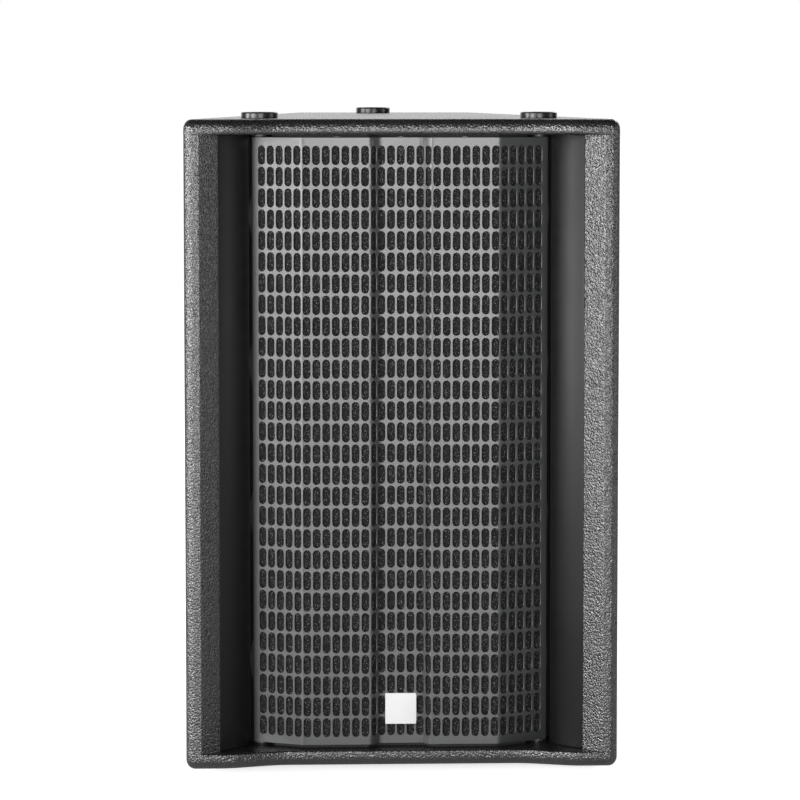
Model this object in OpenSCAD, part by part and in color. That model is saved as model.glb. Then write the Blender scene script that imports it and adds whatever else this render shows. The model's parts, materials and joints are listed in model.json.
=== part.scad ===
// Line array loudspeaker: a trapezoid plywood cabinet, moulded cheeks, a bent punched
// grille, two columns of mid drivers beside a high-frequency line, and an amplifier.
// The front faces -Y, the origin is on the floor under the middle of the bounding box.
// Plan shapes are drawn as [x, depth], where depth is measured back from the front corners.

/* [Cabinet] */
// Width across the front
cab_w = 420; // [414:1:440]
// Height of the body without its feet
cab_h = 630; // [620:1:700]
// Depth from the front corners to the back
cab_d = 480; // [470:1:520]
// Width across the back
back_w = 195; // [190:1:220]
// Thickness of the plywood panels
panel_t = 15; // [12:0.5:18]
// Radius of the four upright corners
corner_r = 9; // [8.5:0.5:12]
// Radius of the rounded edges of the top and the bottom
edge_r = 8; // [4:0.5:8]
// How far the middle of the front edge is set back
set_back = 16; // [10:1:20]
// Half width of the set-back middle
middle_half_w = 109; // [100:1:120]
// Half width from which the front edge is full forward
wing_half_w = 177; // [170:1:180]
// How far the rear panel is sunk behind the cabinet's back edges
rear_inset = 12; // [11:0.5:16]

/* [Cheeks] */
// Half width at which the painted bevel starts
bevel_half_w = 198; // [190:1:198]
// Depth of the bevel's inner edge
bevel_d = 18; // [14:1:22]
// Half width of the flare's inner end
flare_half_w = 149; // [147:0.5:152]
// Depth of the flare's inner end
flare_d = 49; // [46:1:52]
// Angle through which the flare's hollow face turns
flare_turn = 15; // [5:1:25]
// Wall of the flare moulding
flare_t = 5; // [3:0.5:7]
// Number of level ribs behind each flare
flare_ribs = 7; // [4:1:12]

/* [Grille] */
// Thickness of the steel sheet
sheet_t = 1.5; // [1:0.25:2]
// Gap between the sheet and the cabinet's top and bottom
grille_gap = 3; // [2:0.5:5]
// Depth of the main facets behind the set-back front edge
grille_inset = 15; // [12:0.5:18]
// Half width of the recessed centre facet
centre_half_w = 20.65; // [19:0.05:22]
// Depth of the recess in the middle
recess = 8.2; // [6:0.1:9]
// Angle of the step beside the recess
step_angle = 45; // [35:1:50]
// Half width at which the outer facets begin
main_half_w = 96; // [90:0.5:100]
// Length of each outer facet along the sheet
outer_len = 54; // [48:0.5:56]
// Angle at which the outer facets fall back
outer_angle = 26.5; // [20:0.5:30]
// Width of one upright slot
slot_w = 7.3; // [6:0.1:8]
// Height of one upright slot
slot_h = 18.5; // [14:0.5:19]
// Distance from slot to slot along the sheet
col_pitch = 9.52; // [9:0.01:11]
// Distance from one row of slots to the next
row_pitch = 20.72; // [20.5:0.01:24]
// Least solid edge above the top row and below the bottom row
slot_margin = 7; // [5:0.5:12]
// Least solid edge beside the outermost column
side_margin = 6; // [4:0.5:10]
// Thickness of the foam behind the sheet
foam_t = 5; // [3:0.5:6]
// Diameter of the pegs that hold the sheet
peg_d = 6; // [5:0.5:7]
// Side of the square plate at the foot of the centre facet
badge_w = 30.5; // [24:0.5:34]
// Thickness of the square plate
badge_t = 1.2; // [0.8:0.1:2]
// Height of the square plate's middle above the sheet's lower edge
badge_rise = 34.5; // [20:0.5:60]

/* [Baffle and drivers] */
// Depth of the baffle's front face
baffle_d = 86; // [85:1:92]
// Thickness of the baffle
baffle_t = 18; // [15:1:21]
// Height of the rails behind the sheet's upper and lower edge
batten_h = 16; // [14:0.5:17]
// Half length of those rails
batten_half_w = 124; // [115:1:126]
// Mid drivers in each column
mids = 4; // [3:1:4]
// Space between a column of mid drivers and the rails
mid_clear = 2.5; // [1:0.5:6]
// Distance of a column from the middle
mid_x = 86.5; // [86:0.5:87]
// Outer diameter of a mid driver's frame
mid_d = 122; // [116:1:122]
// Diameter of a mid driver's cone at its rim
cone_d = 84; // [76:1:84]
// Travel of a cone each way
cone_travel = 4; // [2:0.5:5]
// Depth of a mid driver's basket
basket_d = 46; // [42:1:50]
// Diameter of a mid driver's magnet
magnet_d = 82; // [70:1:84]
// Diameter of a voice coil
coil_d = 25; // [20:1:30]
// Width of the high-frequency mouth
mouth_w = 40; // [32:1:42]
// Depth from the baffle's front to the throat of the high-frequency waveguide
throat_reach = 114; // [100:1:125]
// Bore of the throat
throat_d = 25; // [20:1:26]
// Diameter of a compression driver
hf_d = 88; // [70:1:90]

/* [Rigging and feet] */
// Diameter of a rubber foot
foot_d = 36; // [32:1:40]
// Height of a rubber foot
foot_h = 6; // [4:0.5:10]
// Half distance between the front feet
foot_x = 136.5; // [136:0.5:139]
// Depth of the front feet
foot_front_d = 74; // [70:0.5:75]
// Distance of the rear foot from the middle, to the right
foot_rear_x = -13; // [-20:1:20]
// Distance of the rear foot from the back
foot_rear_gap = 45; // [42:1:60]
// Hole in the middle of a foot
foot_bore_d = 18; // [15:0.5:20]
// Core diameter of the rigging thread
thread_core_d = 8.5; // [6.8:0.1:10.2]
// Depth of the threaded hole
thread_l = 24; // [20:1:30]

/* [Handles] */
// Depth at which the handles are centred
handle_d = 215; // [210:1:225]
// Length of the hand opening
grip_w = 118; // [100:1:120]
// Height of the hand opening
grip_h = 78; // [70:1:84]
// Depth of the handle cup
cup_d = 42; // [38:1:46]
// Wall of the handle cup
cup_t = 2.5; // [2:0.25:3]
// Diameter of the grip bar
bar_d = 20; // [16:1:22]

/* [Amplifier] */
// Width of the amplifier's plate
plate_w = 150; // [146:1:154]
// Height of the amplifier's plate
plate_h = 330; // [324:1:360]
// Thickness of the plate
plate_t = 3; // [2:0.5:4]
// Width of the border that lies on the rear panel
plate_lap = 12; // [10:0.5:14]
// Depth of the amplifier's housing behind the plate
chassis_d = 120; // [100:1:130]
// Sheet thickness of the housing
chassis_t = 1.5; // [1:0.25:2]
// Number of cooling fins
fins = 17; // [11:2:19]
// Space between the mains inlet and the heat sink
sink_gap = 27; // [20:1:40]
// Diameter of the gain knob
knob_d = 18; // [14:1:20]
// Diameter of the knob's shaft
shaft_d = 6; // [5:0.5:6.5]
// Travel of the preset button
button_travel = 1; // [0.5:0.1:1.5]
// Tilt of the power rocker each way
rocker_tilt = 8; // [5:1:10]

/* [Hidden] */

$fn = 48;
fit = 0.3;          // clearance of parts that are set into a cut-out
run = 0.05;         // radial clearance of shafts that turn
eps = 0.01;         // overshoot of a cut through a face
wood = "#242426";
black = "#1b1b1d";
steel = "#9fa2a6";

z_bottom = foot_h;
z_floor = z_bottom + panel_t;
z_roof = foot_h + cab_h - panel_t;
z_top = foot_h + cab_h;
z_mid = foot_h + cab_h / 2;
inner_h = cab_h - 2 * panel_t;
rear_d = cab_d - rear_inset;            // depth of the rear panel's outer face
mid_pitch = (inner_h - 2 * (batten_h + mid_clear) - mid_d) / (mids - 1);
hf_h = 0.45 * inner_h;                  // height of one waveguide's mouth
hf_rise = hf_h / 2 + 3;                 // its middle, above or below the cabinet's

// The side faces run from the back corners to touch the rounded front corners,
// which reach the full width
side_run = [cab_w / 2 - corner_r - back_w / 2, cab_d - corner_r];
wall_angle = atan2(side_run[0], side_run[1]) + asin(corner_r / norm(side_run));
taper = tan(wall_angle);

// Half width of the cabinet's outer and inner side face at a depth
function outer(d) = back_w / 2 + taper * (cab_d - d);
function inner(d) = outer(d) - panel_t / cos(wall_angle);

// ---- plan geometry -------------------------------------------------------------------

function unit(v) = v / norm(v);
function reversed(list) = [for (i = [len(list) - 1 : -1 : 0]) list[i]];
function turned(v, a) = [v[0] * cos(a) - v[1] * sin(a), v[0] * sin(a) + v[1] * cos(a)];

corner_n = 6;                           // steps of a rounded plan corner

// Arc of radius r that rounds the corner b of the path a, b, c
function fillet(a, b, c, r, n = corner_n) =
  let (u = unit(a - b), v = unit(c - b), half = acos(u * v) / 2,
       centre = b + unit(u + v) * r / sin(half), start = b + u * r / tan(half) - centre,
       sweep = sign(cross(v, u)) * (180 - 2 * half))
  [for (i = [0 : n]) centre + turned(start, sweep * i / n)];

// Hollow arc from p to q that turns through an angle, bulging to the right of the way
function bowed(p, q, turn, n = 10) =
  let (r = norm(q - p) / 2 / sin(turn / 2), mid = (p + q) / 2, side = turned(unit(q - p), 90),
       centre = mid + side * r * cos(turn / 2), start = p - centre)
  [for (i = [0 : n]) centre + turned(start, turn * i / n)];

// Mirrors a half plan about the middle: the whole path from left to right
function both_sides(half) =
  concat([for (p = reversed(half)) if (p[0] > eps) [-p[0], p[1]]], half);

// Closed outline moved inwards by o, for points that run counter-clockwise
function inset(pts, o) =
  let (n = len(pts))
  [for (i = [0 : n - 1])
    let (p = pts[i], u = unit(p - pts[(i + n - 1) % n]), v = unit(pts[(i + 1) % n] - p),
         a = [-u[1], u[0]], b = [-v[1], v[0]])
    p + (a + b) * o / (1 + a * b)];

// Right half of the cabinet's outline, from the front middle round to the back
function half_outline(n = 8) =
  let (corner = [outer(0), 0], rear = [outer(cab_d), cab_d])
  concat(
    [for (i = [0 : n]) let (t = i / n)
      [middle_half_w + (wing_half_w - middle_half_w) * t, set_back * (1 - t * t * (3 - 2 * t))]],
    fillet([wing_half_w, 0], corner, rear, corner_r),
    fillet(corner, rear, [0, cab_d], corner_r));

function outline() =
  concat(half_outline(), [for (p = reversed(half_outline())) [-p[0], p[1]]]);

// ---- placing -------------------------------------------------------------------------

// Raises a plan shape given as [x, depth]
module lay_plan(z, h) translate([0, -cab_d / 2, z]) linear_extrude(h) children();

// Looks at the front: +Z of the children runs back into the cabinet
module into_front(x, d, z) translate([x, d - cab_d / 2, z]) rotate([-90, 0, 0]) children();

// Seen from behind: x to the right, y up, +Z out of the amplifier's plate
module on_plate(x = 0, y = 0)
  translate([-x, rear_d + plate_t - cab_d / 2, z_mid + y]) rotate([90, 0, 180]) children();

// On a side wall: +X out of the wall, +Y back along it
module on_side(side) mirror([side < 0 ? 1 : 0, 0, 0])
  translate([outer(handle_d), handle_d - cab_d / 2, z_mid]) rotate([0, 0, wall_angle]) children();

// Extrudes a [y, z] shape along +X
module along_x(l) rotate([90, 0, 90]) linear_extrude(l) children();

module rounded_rect(w, h, r) {
  square([w - 2 * r, h], center = true);
  square([w, h - 2 * r], center = true);
  for (x = [-1, 1], y = [-1, 1]) translate([x * (w / 2 - r), y * (h / 2 - r)]) circle(r);
}

// Screw with a domed head; its seat is at z = 0 and its shank runs to +Z
module screw(head_d, shank_d, l) rotate_extrude()
  polygon([[0, -head_d * 0.3], [head_d * 0.3, -head_d * 0.3], [head_d / 2, -head_d * 0.14],
           [head_d / 2, 0], [shank_d / 2, 0], [shank_d / 2, l], [0, l]]);

// ---- cabinet -------------------------------------------------------------------------

// Slab whose upper edge is rounded all round: rings of the outline, moved inwards
module rounded_slab(pts, t, r, steps = 5) {
  n = len(pts);
  levels = concat([[0, 0]], [for (i = [0 : steps]) let (a = 90 * i / steps)
    [t - r + r * sin(a), r * (1 - cos(a))]]);
  rings = [for (l = levels) for (p = inset(pts, l[1])) [p[0], p[1], l[0]]];
  walls = [for (j = [0 : len(levels) - 2], i = [0 : n - 1])
    let (a = j * n + i, b = j * n + (i + 1) % n) each [[a, a + n, b + n], [a, b + n, b]]];
  top = (len(levels) - 1) * n;
  // the flat faces fan out from the last corner of each side to the swept front edge,
  // and strips from side to side fill the rest
  last = n / 2 - corner_n - 1;
  under = concat([for (i = [0 : last - 2]) each [[i, i + 1, last], [n - 2 - i, n - 1 - i, n - 1 - last]]],
    [[0, last, n - 1 - last, n - 1]],
    [for (i = [last : n / 2 - 2]) [i, i + 1, n - 2 - i, n - 1 - i]]);
  over = [for (f = under) [for (p = reversed(f)) top + p]];
  polyhedron(rings, concat(under, walls, over), convexity = 4);
}

foot_places = [[foot_x, foot_front_d], [-foot_x, foot_front_d],
               [foot_rear_x, cab_d - foot_rear_gap]];
insert_r = 7;
insert_flange_r = 9.5;
insert_flange_t = 3;

// The top board as it lies, with its underside at z = 0
module board() difference() {
  translate([0, -cab_d / 2, 0]) rounded_slab(outline(), panel_t, edge_r);
  for (p = foot_places) translate([p[0], p[1] - cab_d / 2, -eps])
    cylinder(h = panel_t + 2 * eps, r = insert_r);
}

module top_panel() color(wood) translate([0, 0, z_roof]) board();
module bottom_panel() color(wood) translate([0, 0, z_floor]) mirror([0, 0, 1]) board();

bevel_end = [wing_half_w, bevel_d];
cheek_seat_d = bevel_d + 8;             // where the cheek meets the wall's inner face

cup_w = grip_w + 2 * cup_t;
cup_h = grip_h + 2 * cup_t;
cup_r = 12;

module side_wall() difference() {
  lay_plan(z_floor, inner_h) polygon(concat(
    [[inner(cab_d), cab_d], [inner(cheek_seat_d), cheek_seat_d], bevel_end, [bevel_half_w, 0]],
    fillet([bevel_half_w, 0], [outer(0), 0], [outer(cab_d), cab_d], corner_r),
    fillet([outer(0), 0], [outer(cab_d), cab_d], [0, cab_d], corner_r)));
  on_side(1) translate([-2 * panel_t, 0, 0]) along_x(4 * panel_t)
    rounded_rect(cup_w + 2 * fit, cup_h + 2 * fit, cup_r + fit);
}
module side_panel_right() color(wood) side_wall();
module side_panel_left() color(wood) mirror([1, 0, 0]) side_wall();

opening_w = plate_w - 2 * plate_lap;    // cut-out for the amplifier
opening_h = plate_h - 2 * plate_lap;

module rear_panel() color(wood) difference() {
  front = rear_d - panel_t;
  lay_plan(z_floor, inner_h) polygon(
    [[-inner(front), front], [inner(front), front], [inner(rear_d), rear_d], [-inner(rear_d), rear_d]]);
  on_plate() translate([0, 0, -plate_t - 2 * panel_t])
    linear_extrude(3 * panel_t) square([opening_w, opening_h], center = true);
}

brace_rise = hf_rise / 2;               // level of the braces above and below the middle
brace_front = baffle_d + throat_reach + 15;
brace_back = rear_d - chassis_d - 23;

module cross_braces() color("#b98a55") for (s = [-1, 1])
  lay_plan(z_mid + s * brace_rise - panel_t / 2, panel_t) difference() {
    polygon([[-inner(brace_front), brace_front], [inner(brace_front), brace_front],
             [inner(brace_back), brace_back], [-inner(brace_back), brace_back]]);
    for (x = [-1, 0, 1]) translate([x * 68, (brace_front + brace_back) / 2])
      rounded_rect(x == 0 ? 66 : 42, brace_back - brace_front - 44, 10);
  }

flare_end = [flare_half_w, flare_d];
flare_nose = 4;                         // flat end of the flare beside the grille

// Moulded flare: a thin hollow-faced wall with level ribs and a foot on the baffle
module flare() {
  face = bowed(flare_end, bevel_end, flare_turn);
  foot = [flare_half_w + 8, baffle_d];
  body = concat(face, [[inner(cheek_seat_d), cheek_seat_d], [inner(baffle_d), baffle_d], foot,
    flare_end + [0, flare_nose]]);
  coarse = bowed(flare_end, bevel_end, flare_turn, 3);   // long edges keep the inset outline simple
  hollow = inset(concat(coarse, [[inner(baffle_d), baffle_d], foot, flare_end + [0, flare_nose]]),
    flare_t);
  cell = (inner_h - flare_t) / flare_ribs;
  difference() {
    lay_plan(z_floor, inner_h) polygon(body);
    for (i = [0 : flare_ribs - 1])
      lay_plan(z_floor + flare_t + i * cell, cell - flare_t) polygon(hollow);
  }
}
module flare_right() color(black) flare();
module flare_left() color(black) mirror([1, 0, 0]) flare();

// ---- grille: one sheet, bent into seven facets and punched with upright slots ---------

grille_h = inner_h - 2 * grille_gap;
grille_d = set_back + grille_inset;     // depth of the main facets
step_len = recess / sin(step_angle);
step_out_w = centre_half_w + step_len * cos(step_angle);
bend_angle = [0, -step_angle, 0, outer_angle];
bend_u = [0, centre_half_w, centre_half_w + step_len, centre_half_w + step_len + main_half_w - step_out_w,
          centre_half_w + step_len + main_half_w - step_out_w + outer_len];
bend_at = [[0, grille_d + recess], [centre_half_w, grille_d + recess], [step_out_w, grille_d],
           [main_half_w, grille_d],
           [main_half_w + outer_len * cos(outer_angle), grille_d + outer_len * sin(outer_angle)]];

// Half plan of the sheet, moved back by o square to each facet
function sheet_line(o) = [for (i = [0 : 4])
  let (a = i == 0 ? 0 : bend_angle[i - 1], b = i == 4 ? a : bend_angle[i], m = (a + b) / 2)
  bend_at[i] + o / cos((b - a) / 2) * [-sin(m), cos(m)]];

// Half plan of a sheet between two such lines, whole from left to right
function layer(o, t) = concat(both_sides(sheet_line(o)), reversed(both_sides(sheet_line(o + t))));

// Depth of the sheet's back at a place on a facet that faces forward
function sheet_back(x) = sheet_t + (abs(x) < centre_half_w ? grille_d + recess : grille_d);

rows = floor((grille_h - 2 * slot_margin + row_pitch - slot_h) / row_pitch);
columns = floor((bend_u[4] - side_margin - slot_w / 2) / col_pitch);

// Column of upright slots with round ends, w wide
module slot_column(w = slot_w) for (r = [0 : rows - 1])
  translate([0, (r - (rows - 1) / 2) * row_pitch]) {
    square([w, slot_h - w], center = true);
    for (s = [-1, 1]) translate([0, s * (slot_h - w) / 2]) circle(d = w);
  }

// Slots that lie within one facet, laid out from the sheet's middle line and cut square to it
module facet_slots(i) {
  first = i == 0 ? 0 : ceil((bend_u[i] + slot_w / 2) / col_pitch);
  last = min(columns, floor((bend_u[i + 1] - slot_w / 2) / col_pitch));
  translate([bend_at[i][0], bend_at[i][1] - cab_d / 2, z_mid]) rotate([90, 0, bend_angle[i]])
    translate([-bend_u[i], 0, -2 * sheet_t]) linear_extrude(3 * sheet_t)
      for (k = [first : last]) translate([k * col_pitch, 0]) slot_column();
}

// Distance of a place on a facet from the middle plane
function fold_x(u, i) = bend_at[i][0] + (u - bend_u[i]) * cos(bend_angle[i]);

// Slots that run across fold i, cut straight to the rear so that both facets match
module fold_slots(i) for (k = [1 : columns]) if (abs(k * col_pitch - bend_u[i]) < slot_w / 2) {
  from = fold_x(k * col_pitch - slot_w / 2, i - 1);
  to = fold_x(k * col_pitch + slot_w / 2, i);
  into_front((from + to) / 2, grille_d - sheet_t, z_mid) linear_extrude(recess + 4 * sheet_t)
    slot_column(to - from);
}

module facet(i) difference() {
  lay_plan(z_floor + grille_gap, grille_h) polygon([sheet_line(0)[i], sheet_line(0)[i + 1],
    sheet_line(sheet_t)[i + 1], sheet_line(sheet_t)[i]]);
  facet_slots(i);
  if (i > 0) fold_slots(i);
  if (i < 3) fold_slots(i + 1);
}

module grille() color("#5b5d60") for (s = [0, 1]) mirror([s, 0, 0]) for (i = [0 : 3]) facet(i);

peg_places = [for (x = [-1, 0, 1], z = [-1, 1]) [x * 62, z * (grille_h / 2 - slot_margin / 2 - 0.5)]];
socket_r = peg_d / 2 + 2;

// Pegs welded behind the sheet's solid edges; o widens them into their holes
module pegs(o, front = 0, l = 22) for (p = peg_places)
  into_front(p[0], sheet_back(p[0]) + front, z_mid + p[1]) cylinder(h = l, d = peg_d + 2 * o);

module grille_foam() color("#3a3b3d") difference() {
  lay_plan(z_floor + grille_gap, grille_h) polygon(layer(sheet_t, foam_t));
  pegs(fit, -foam_t, 3 * foam_t);
}
module grille_pegs() color(steel) pegs(0);
module peg_sockets() color("#151515") difference() {
  pegs(2, foam_t + 1, 16);
  pegs(0.1, -foam_t, 40);
}

// Rails behind the sheet's upper and lower edge, on the baffle
module grille_battens() color(wood) difference() {
  for (z = [z_floor, z_roof - batten_h]) lay_plan(z, batten_h) intersection() {
    polygon(concat(both_sides(sheet_line(sheet_t + foam_t)),
      [[bend_at[4][0], baffle_d], [-bend_at[4][0], baffle_d]]));
    translate([0, baffle_d / 2]) square([2 * batten_half_w, baffle_d], center = true);
  }
  pegs(2, -foam_t, foam_t + 22);
}

module badge_plate() color("white")
  into_front(0, grille_d + recess - badge_t, z_floor + grille_gap + badge_rise)
    linear_extrude(badge_t) rounded_rect(badge_w, badge_w, 1);

// ---- drivers -------------------------------------------------------------------------

mid_r = mid_d / 2;
rim_in_r = cone_d / 2 + 10;             // inner edge of a frame's rim
rim_t = 4;
rim_wall = 1.2;                         // wall of the basket behind the rim
back_r = 32;                            // radius of the basket's back plate
coil_r = coil_d / 2;
gap_r = coil_r + 0.9;                   // outer wall of the magnet gap
pole_r = coil_r - 0.9;
screw_ring_r = mid_r - 4.5;
mid_front = baffle_d - rim_t;           // depth of the frames' front faces

module each_mid(sides = [-1, 1]) for (s = sides, i = [0 : mids - 1])
  into_front(s * mid_x, mid_front, z_mid + (i - (mids - 1) / 2) * mid_pitch) children();

// Repeats round a driver's frame at the four screws
module at_screws() for (a = [45 : 90 : 315]) rotate(a) translate([screw_ring_r, 0, 0]) children();

module basket() difference() {
  rotate_extrude() polygon([[rim_in_r, 0], [mid_r, 0], [mid_r, rim_t], [rim_in_r + rim_wall, rim_t],
    [back_r, basket_d - 2], [back_r, basket_d], [gap_r, basket_d], [gap_r, basket_d - 4],
    [back_r - 2, basket_d - 4], [rim_in_r, rim_t + 1]]);
  for (a = [0 : 60 : 300]) rotate(a + 30) translate([back_r + 1, 0, rim_t + 5])
    translate([0, -12, 0]) cube([rim_in_r, 24, basket_d - 16]);
  at_screws() translate([0, 0, -eps]) cylinder(h = rim_t + 2 * eps, d = 3.8);
}
module mid_baskets() color("#2b2c2e") each_mid() basket();

// Half-round roll of rubber between a cone's edge and its frame
module mid_surrounds() color("#101010") each_mid() rotate_extrude() {
  cone_gap = 0.5;
  rim_gap = 0.1;
  half = (rim_in_r - rim_gap - cone_d / 2 - cone_gap) / 2;
  translate([cone_d / 2 + cone_gap + half, rim_t]) difference() {
    circle(half, $fn = 32);
    circle(half - 0.6, $fn = 32);
    translate([-half - 1, 0]) square([2 * half + 2, half + 1]);
  }
}

module mid_magnets() color(steel) each_mid() rotate_extrude()
  polygon([[gap_r, basket_d], [magnet_d / 2 - 1, basket_d], [magnet_d / 2, basket_d + 1],
           [magnet_d / 2, basket_d + 23], [magnet_d / 2 - 1, basket_d + 24], [0, basket_d + 24],
           [0, basket_d], [pole_r, basket_d], [pole_r, basket_d + 12], [gap_r, basket_d + 12]]);

cap_seat_r = 18.5;                      // where the dust cap is glued to the cone
cap_dome_r = 24;

// Cone with its dust cap and coil former in one moving piece
module cone() rotate_extrude() {
  rim = [cone_d / 2 - 2, 5];
  neck = [coil_r - 0.3, 28];
  seat_z = rim[1] + (neck[1] - rim[1]) * (rim[0] - cap_seat_r) / (rim[0] - neck[0]);
  dome_z = seat_z + sqrt(cap_dome_r * cap_dome_r - cap_seat_r * cap_seat_r);
  polygon([rim + [2, 0], rim + [2, 1], neck + [0.6, 1], [neck[0] + 0.6, basket_d + 5],
           [neck[0], basket_d + 5], neck, rim]);
  intersection() {
    difference() {
      translate([0, dome_z]) circle(cap_dome_r);
      translate([0, dome_z]) circle(cap_dome_r - 0.8);
    }
    square([cap_seat_r + 2, seat_z + 0.8]);
  }
}
module mid_cones_left() color("#18181a") each_mid([-1]) cone();
module mid_cones_right() color("#18181a") each_mid([1]) cone();

module driver_screws() color("#0f0f10") each_mid() at_screws() screw(7, 3.5, 20);

hf_places = [for (s = [-1, 1]) z_mid + s * hf_rise];
wall = 3;
lip_w = 80;                             // flange behind the baffle

// Block from a mouth of w x h to a throat of w2 x h2, as the waveguide narrows
module narrowing(w, h, w2, h2, l) hull() {
  translate([-w / 2, -h / 2, 0]) cube([w, h, eps]);
  translate([-w2 / 2, -h2 / 2, l - eps]) cube([w2, h2, eps]);
}

module hf_waveguides() color(black) for (z = hf_places) into_front(0, baffle_d, z) difference() {
  union() {
    narrowing(mouth_w + 2 * wall, hf_h, throat_d + 14, throat_d + 14, throat_reach);
    translate([-lip_w / 2, -hf_h / 2, baffle_t]) cube([lip_w, hf_h, wall]);
    translate([0, 0, throat_reach - 10]) cylinder(h = 10, d = hf_d - 20);
  }
  translate([0, 0, -eps]) narrowing(mouth_w, hf_h - 2 * wall, 12, throat_d, throat_reach - 20);
  translate([0, 0, throat_reach - 21]) cylinder(h = 21 + eps, d = throat_d);
}

module hf_drivers() color("#303236") for (z = hf_places)
  into_front(0, baffle_d + throat_reach, z) rotate_extrude()
    polygon([[throat_d / 2, 0], [hf_d / 2 - 10, 0], [hf_d / 2 - 10, 8], [hf_d / 2, 8], [hf_d / 2, 40],
             [hf_d / 2 - 4, 44], [hf_d / 2 - 14, 44], [hf_d / 2 - 16, 50], [0, 50], [0, 12],
             [throat_d / 2, 6]]);

module baffle_board() color("#2a2624") difference() {
  back = baffle_d + baffle_t;
  lay_plan(z_floor, inner_h) polygon([[-inner(baffle_d), baffle_d], [inner(baffle_d), baffle_d],
    [inner(back), back], [-inner(back), back]]);
  each_mid() translate([0, 0, rim_t - eps]) cylinder(h = baffle_t + 2 * eps, r = rim_in_r + rim_wall + fit);
  each_mid() at_screws() translate([0, 0, rim_t - eps]) cylinder(h = 16.5, d = 3.6);
  for (z = hf_places) into_front(0, baffle_d, z) translate([0, 0, baffle_t / 2])
    cube([mouth_w + 2 * wall + 2 * fit, hf_h + 2 * fit, 2 * baffle_t], center = true);
}

pad_t = 30;
module damping_pads() color("#8d8f94") for (z = [z_floor, z_roof - pad_t]) lay_plan(z, pad_t) {
  front = brace_front + 20;
  back = cab_d - foot_rear_gap - insert_flange_r - 8;
  polygon([[-inner(front) + 1, front], [inner(front) - 1, front], [inner(back) - 1, back],
           [-inner(back) + 1, back]]);
}

// ---- rigging, feet and handles -------------------------------------------------------

// Threaded bush with a flange behind the board; its mouth is level with the board's face
module insert() rotate_extrude() polygon([[thread_core_d / 2, 0], [insert_r, 0],
  [insert_r, -panel_t], [insert_flange_r, -panel_t], [insert_flange_r, -panel_t - insert_flange_t],
  [insert_r, -panel_t - insert_flange_t], [insert_r, -thread_l - 3], [0, -thread_l - 3],
  [0, -thread_l], [thread_core_d / 2, -thread_l]]);

module foot() rotate_extrude() polygon([[foot_bore_d / 2, 0], [foot_d / 2, 0],
  [foot_d / 2, foot_h - 1], [foot_d / 2 - 1, foot_h], [foot_bore_d / 2, foot_h]]);

module at_feet() for (p = foot_places) translate([p[0], p[1] - cab_d / 2, 0]) children();

module rigging_inserts() color(steel) at_feet() {
  translate([0, 0, z_top]) insert();
  translate([0, 0, z_bottom]) mirror([0, 0, 1]) insert();
}
module feet_top() color("#141414") at_feet() translate([0, 0, z_top]) foot();
module feet_bottom() color("#141414") at_feet() translate([0, 0, z_bottom]) mirror([0, 0, 1]) foot();

flange_w = cup_w + 33;
flange_h = cup_h + 33;

module handle_cup() {
  difference() {
    union() {
      translate([-cup_d, 0, 0]) along_x(cup_d) rounded_rect(cup_w, cup_h, cup_r);
      along_x(cup_t) rounded_rect(flange_w, flange_h, cup_r + 4);
    }
    translate([cup_t - cup_d, 0, 0]) along_x(cup_d + 1) rounded_rect(grip_w, grip_h, cup_r - cup_t);
    at_handle_screws() translate([-1, 0, 0]) rotate([0, 90, 0]) cylinder(h = cup_t + 2, d = 5);
  }
}
module at_handle_screws() for (y = [-1, 1], z = [-1, 1])
  translate([0, y * (flange_w / 2 - 9), z * (flange_h / 2 - 9)]) children();

module handle_cups() color("#1c1c1e") for (s = [-1, 1]) on_side(s) handle_cup();
module handle_bars() color("#262629") for (s = [-1, 1]) on_side(s)
  translate([-bar_d / 2, grip_w / 2, grip_h / 2 - bar_d / 2 - 14]) rotate([90, 0, 0])
    cylinder(h = grip_w, d = bar_d);
module handle_screws() color("#0f0f10") for (s = [-1, 1]) on_side(s) at_handle_screws()
  translate([cup_t, 0, 0]) rotate([0, -90, 0]) screw(9, 4.4, cup_t);

// ---- amplifier -----------------------------------------------------------------------

// Places on the plate, seen from behind
signal_row = plate_h / 2 - 37;
mains_row = signal_row - 92;
xlr_in_at = [-38, signal_row];
xlr_out_at = [-38, signal_row - 40];
knob_at = [8, signal_row];
button_at = [8, signal_row - 36];
lights_at = [40, signal_row];
inlet_at = [-30, mains_row];
switch_at = [28, mains_row];
inlet_h = 28;
sink_bottom = 15 - plate_h / 2;
sink_h = mains_row - inlet_h / 2 - sink_gap - sink_bottom;
sink_y = sink_bottom + sink_h / 2;
sink_w = opening_w;

xlr_r = 9.6;                            // mouth of a signal connector
xlr_l = 20;                             // length of its barrel behind the plate
xlr_barrel_r = 12;
latch_w = 7;
latch_h = 2.1;
latch_l = 5;
latch_room = 3;                         // free way behind the latch
board_back = 44;                        // circuit board's distance behind the plate's face

module amp_plate() color("#1d1e20") on_plate() translate([0, 0, -plate_t])
  linear_extrude(plate_t) difference() {
    rounded_rect(plate_w, plate_h, 4);
    for (p = [xlr_in_at, xlr_out_at]) translate(p) circle(xlr_barrel_r + 0.5);
    translate(inlet_at) square([28, 22], center = true);
    translate(switch_at) square([20, 14], center = true);
    translate(knob_at) circle(d = 9.2);
    translate(button_at) circle(d = 8.2);
    for (i = [0 : 2]) translate(lights_at - [0, 14 * i]) circle(d = 3.2);
    for (p = plate_screw_places) translate(p) circle(d = 4.2);
  }

plate_screw_places = [for (x = [-1, 1], i = [0 : 4])
  [x * (plate_w - plate_lap) / 2, (i - 2) * (plate_h - plate_lap) / 4]];
module plate_screws() color("#0f0f10") for (p = plate_screw_places) on_plate(p[0], p[1])
  rotate([180, 0, 0]) screw(7, 4, plate_t);

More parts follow.
